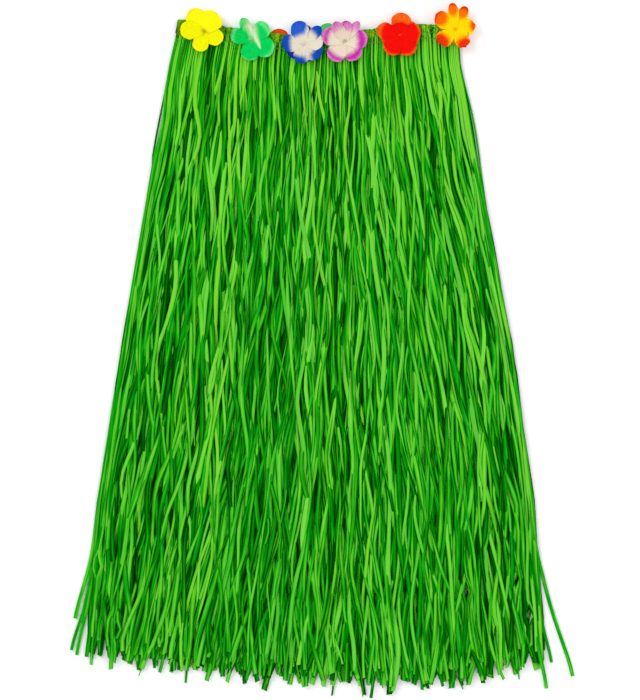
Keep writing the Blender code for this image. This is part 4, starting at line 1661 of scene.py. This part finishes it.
def back_flowers(plan: SkirtPlan) -> list[Flower]:
    """The two flowers of the back whose petals show over the front's edge, flat on the floor."""
    pressed = {"rests_on": "floor", "slope": 0.0, "cup": 0.0, "pile": 0.00012, "dimple": 0.0}
    red = Flower(
        plan, "back_flower_red", "petals_back_red", (-0.0515, 0.0140), BACK_RADIUS, ON_FLOOR,
        ring_of_petals((18, 90, 162, 234, 306), climb=0.0, heart=0.55, rim=1.2, ruffle=0.0001),
        PetalFinish("back_red_cloth", (240, 200, 150), (250, 88, 24), (255, 110, 40), (220, 60, 10)),
        **pressed,
    )
    green = Flower(
        plan, "back_flower_green", "petals_green", (0.0070, 0.0070), BACK_RADIUS, ON_FLOOR,
        ring_of_petals((12, 84, 156, 228, 300), climb=0.0, heart=0.2, rim=1.0, ruffle=0.0001),
        PetalFinish("back_green_cloth", (222, 228, 186), (90, 222, 122), (140, 236, 150), (30, 180, 80)),
        **pressed,
    )
    return [red, green]


HEM_SLITS = (  # across, depth, half width, height over the hem where it closes
    (-0.2740, 0.042, 0.0054, 0.088),
    (-0.2705, 0.040, 0.0056, 0.042),
    (-0.2610, 0.036, 0.0060, 0.045),
    (-0.2510, 0.028, 0.0056, 0.023),
    (0.1791, 0.034, 0.0050, 0.092),
    (0.2405, 0.034, 0.0050, 0.094),
    (0.2552, 0.036, 0.0054, 0.044),
)
HEM_NOTCHES = (  # across, depth, half width
    (-0.276, 0.060, 0.0050),
    (-0.266, 0.095, 0.0055),
    (-0.247, 0.035, 0.0060),
    (-0.230, 0.022, 0.0045),
    (-0.211, 0.030, 0.0075),
    (-0.191, 0.024, 0.0055),
    (-0.160, 0.018, 0.0045),
    (-0.128, 0.026, 0.0060),
    (-0.106, 0.034, 0.0070),
    (-0.084, 0.018, 0.0045),
    (-0.058, 0.030, 0.0065),
    (-0.030, 0.022, 0.0050),
    (-0.004, 0.034, 0.0065),
    (0.021, 0.022, 0.0050),
    (0.041, 0.036, 0.0070),
    (0.069, 0.024, 0.0055),
    (0.096, 0.034, 0.0070),
    (0.118, 0.020, 0.0045),
    (0.142, 0.038, 0.0075),
    (0.167, 0.022, 0.0050),
    (0.190, 0.040, 0.0080),
    (0.213, 0.026, 0.0055),
    (0.234, 0.044, 0.0065),
    (0.256, 0.046, 0.0090),
)
HEM_GAPS = tuple(HemGap(*row) for row in (*HEM_SLITS, *HEM_NOTCHES))
BARE_PATCH = HemGap(across=0.138, depth=0.0080, half_width=0.0046)

OLIVE_DYES = ((10, 60, 0), (26, 88, 0), (60, 122, 2), (96, 150, 12), (128, 176, 26), (156, 204, 56))

SIDE_STRAYS = (  # share of the width, width, reach, tone, stations and how far out it is at each
    Stray(0.996, 0.0046, 0.784, 0.60, (0.62, 0.70, 0.784), (0.0, 0.014, 0.038)),
    Stray(0.990, 0.0040, 0.767, 0.50, (0.66, 0.72, 0.767), (0.0, 0.005, 0.016)),
    Stray(0.975, 0.0046, 0.799, 0.62, (0.66, 0.74, 0.799), (0.0, 0.006, 0.016)),
    Stray(0.000, 0.0050, 0.713, 0.66, (0.56, 0.64, 0.713), (0.0, -0.003, -0.018)),
    Stray(0.002, 0.0040, 0.752, 0.56, (0.62, 0.70, 0.752), (0.0, -0.007, -0.022)),
    Stray(0.005, 0.0044, 0.758, 0.62, (0.62, 0.70, 0.758), (0.0, -0.006, -0.016)),
    Stray(
        0.000, 0.0024, 0.720, 0.34, (0.06, 0.10, 0.14, 0.17, 0.22), (0.001, -0.0073, -0.0040, 0.001, 0.006)
    ),
    Stray(0.004, 0.0046, 0.719, 0.55, (0.58, 0.655, 0.719), (0.0, -0.002, -0.0125)),
    Stray(0.008, 0.0050, 0.760, 0.46, (0.62, 0.70, 0.760), (0.0, 0.001, -0.005)),
    Stray(1.000, 0.0024, 0.730, 0.52, (0.05, 0.08, 0.12, 0.16, 0.22), (0.0, 0.004, 0.005, 0.003, 0.0)),
)


@dataclass
class Studio:
    """Floor, light and camera."""

    plan: SkirtPlan
    floor: FloorFinish
    camera_height: float = 3.0
    skirt_height: float = 0.010
    pictured_height: float = 0.8589  # metres of floor from the top of the picture to its bottom
    right_of_waist: float = -0.0012
    below_waist: float = 0.3828
    sensor: float = 36.0
    sky: float = 0.94
    key: float = 19.0
    fill: float = 9.0

    def build(self) -> None:
        """Set the stage."""
        bpy.ops.mesh.primitive_plane_add(size=9.0, location=(0, 0, 0))
        ground = bpy.context.object
        ground.name = "backdrop_floor"
        ground.data.materials.append(self.floor.material())
        world = bpy.data.worlds.new("studio")
        world.use_nodes = True
        world.node_tree.nodes["Background"].inputs["Color"].default_value = (1, 1, 1, 1)
        world.node_tree.nodes["Background"].inputs["Strength"].default_value = self.sky
        bpy.context.scene.world = world
        self.lamp("key_light", (-1.5, 1.1, 2.2), self.key, 1.2)
        self.lamp("fill_light", (1.7, -0.9, 2.4), self.fill, 1.8)
        self.place_camera()
        bpy.context.scene.view_settings.view_transform = "Standard"

    def lamp(self, name: str, place: tuple[float, float, float], power: float, size: float) -> None:
        """Add a soft lamp that faces the skirt."""
        data = bpy.data.lights.new(name, "AREA")
        data.energy = power
        data.size = size
        lamp = bpy.data.objects.new(name, data)
        lamp.location = place
        lamp.rotation_euler = (-Vector(place)).to_track_quat("-Z", "Y").to_euler()
        bpy.context.scene.collection.objects.link(lamp)

    def place_camera(self) -> None:
        """Look straight down, with the waist where the picture has it."""
        x, y = self.plan.middle()
        data = bpy.data.cameras.new("camera")
        data.sensor_width = self.sensor
        data.lens = self.sensor * (self.camera_height - self.skirt_height) / self.pictured_height
        data.clip_end = 50
        camera = bpy.data.objects.new("camera", data)
        camera.location = (x + self.right_of_waist, y - self.below_waist, self.camera_height)
        bpy.context.scene.collection.objects.link(camera)
        bpy.context.scene.camera = camera


def main() -> None:
    """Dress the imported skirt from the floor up, then light it."""
    logging.basicConfig(level=logging.INFO, format="%(message)s")
    low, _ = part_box("waistband_front")
    plan = SkirtPlan(left_edge=low.x, lower_edge=low.y)
    back = RaffiaFringe(
        plan,
        RaffiaFinish("raffia_back"),
        "fringe_back",
        "raffia_back",
        (Layer("raffia_back_lower", 168, 0.0, 0.5), Layer("raffia_back_upper", 156, 0.5, 1.0)),
        seed=301,
        root_heights=(0.0009, 0.0026),
        loose_heights=(0.0014, 0.0058),
        stations=54,
        columns=3,
        width=(0.0046, 0.0086),
        # Painted shade: the back half lies under the front, so its tones are darker.
        tones=(0.24, 0.38),
        # Painted light: the back's tips much lighter.
        tip_light=0.42,
        gaps=HEM_GAPS,
    )
    front = RaffiaFringe(
        plan,
        RaffiaFinish("raffia_front"),
        "fringe_front",
        "raffia_front",
        (
            Layer("raffia_front_lower", 176, 0.0, 0.42),
            Layer("raffia_front_middle", 170, 0.32, 0.82),
            Layer("raffia_front_upper", 158, 0.58, 1.0, from_top_edge=True),
        ),
        seed=401,
        root_heights=(0.0040, 0.0066),
        loose_heights=(0.0066, 0.0138),
        strays=SIDE_STRAYS,
        gaps=HEM_GAPS,
        bare_patch=BARE_PATCH,
    )
    band = Waistband(
        plan,
        RaffiaFinish("raffia_band", dyes=OLIVE_DYES),
        ElasticFinish(),
        ThreadFinish("band_thread", (112, 164, 36)),
    )
    back_wall = band.build_wall("waistband_back_elastic", "waistband_back", band.back_height)
    back_raffia = back.build()
    front_wall = band.build_wall("waistband_front_elastic", "waistband_front", band.front_height)
    bunches = [band.build_bunches("waistband_bunches", 0), band.build_bunches("waistband_bunches_inner", 1)]
    stitches = band.build_stitches()
    front_raffia = front.build()
    for flower in (*back_flowers(plan), *front_flowers(plan)):
        flower.build()
    Studio(plan, FloorFinish()).build()


if __name__ == "__main__":
    main()
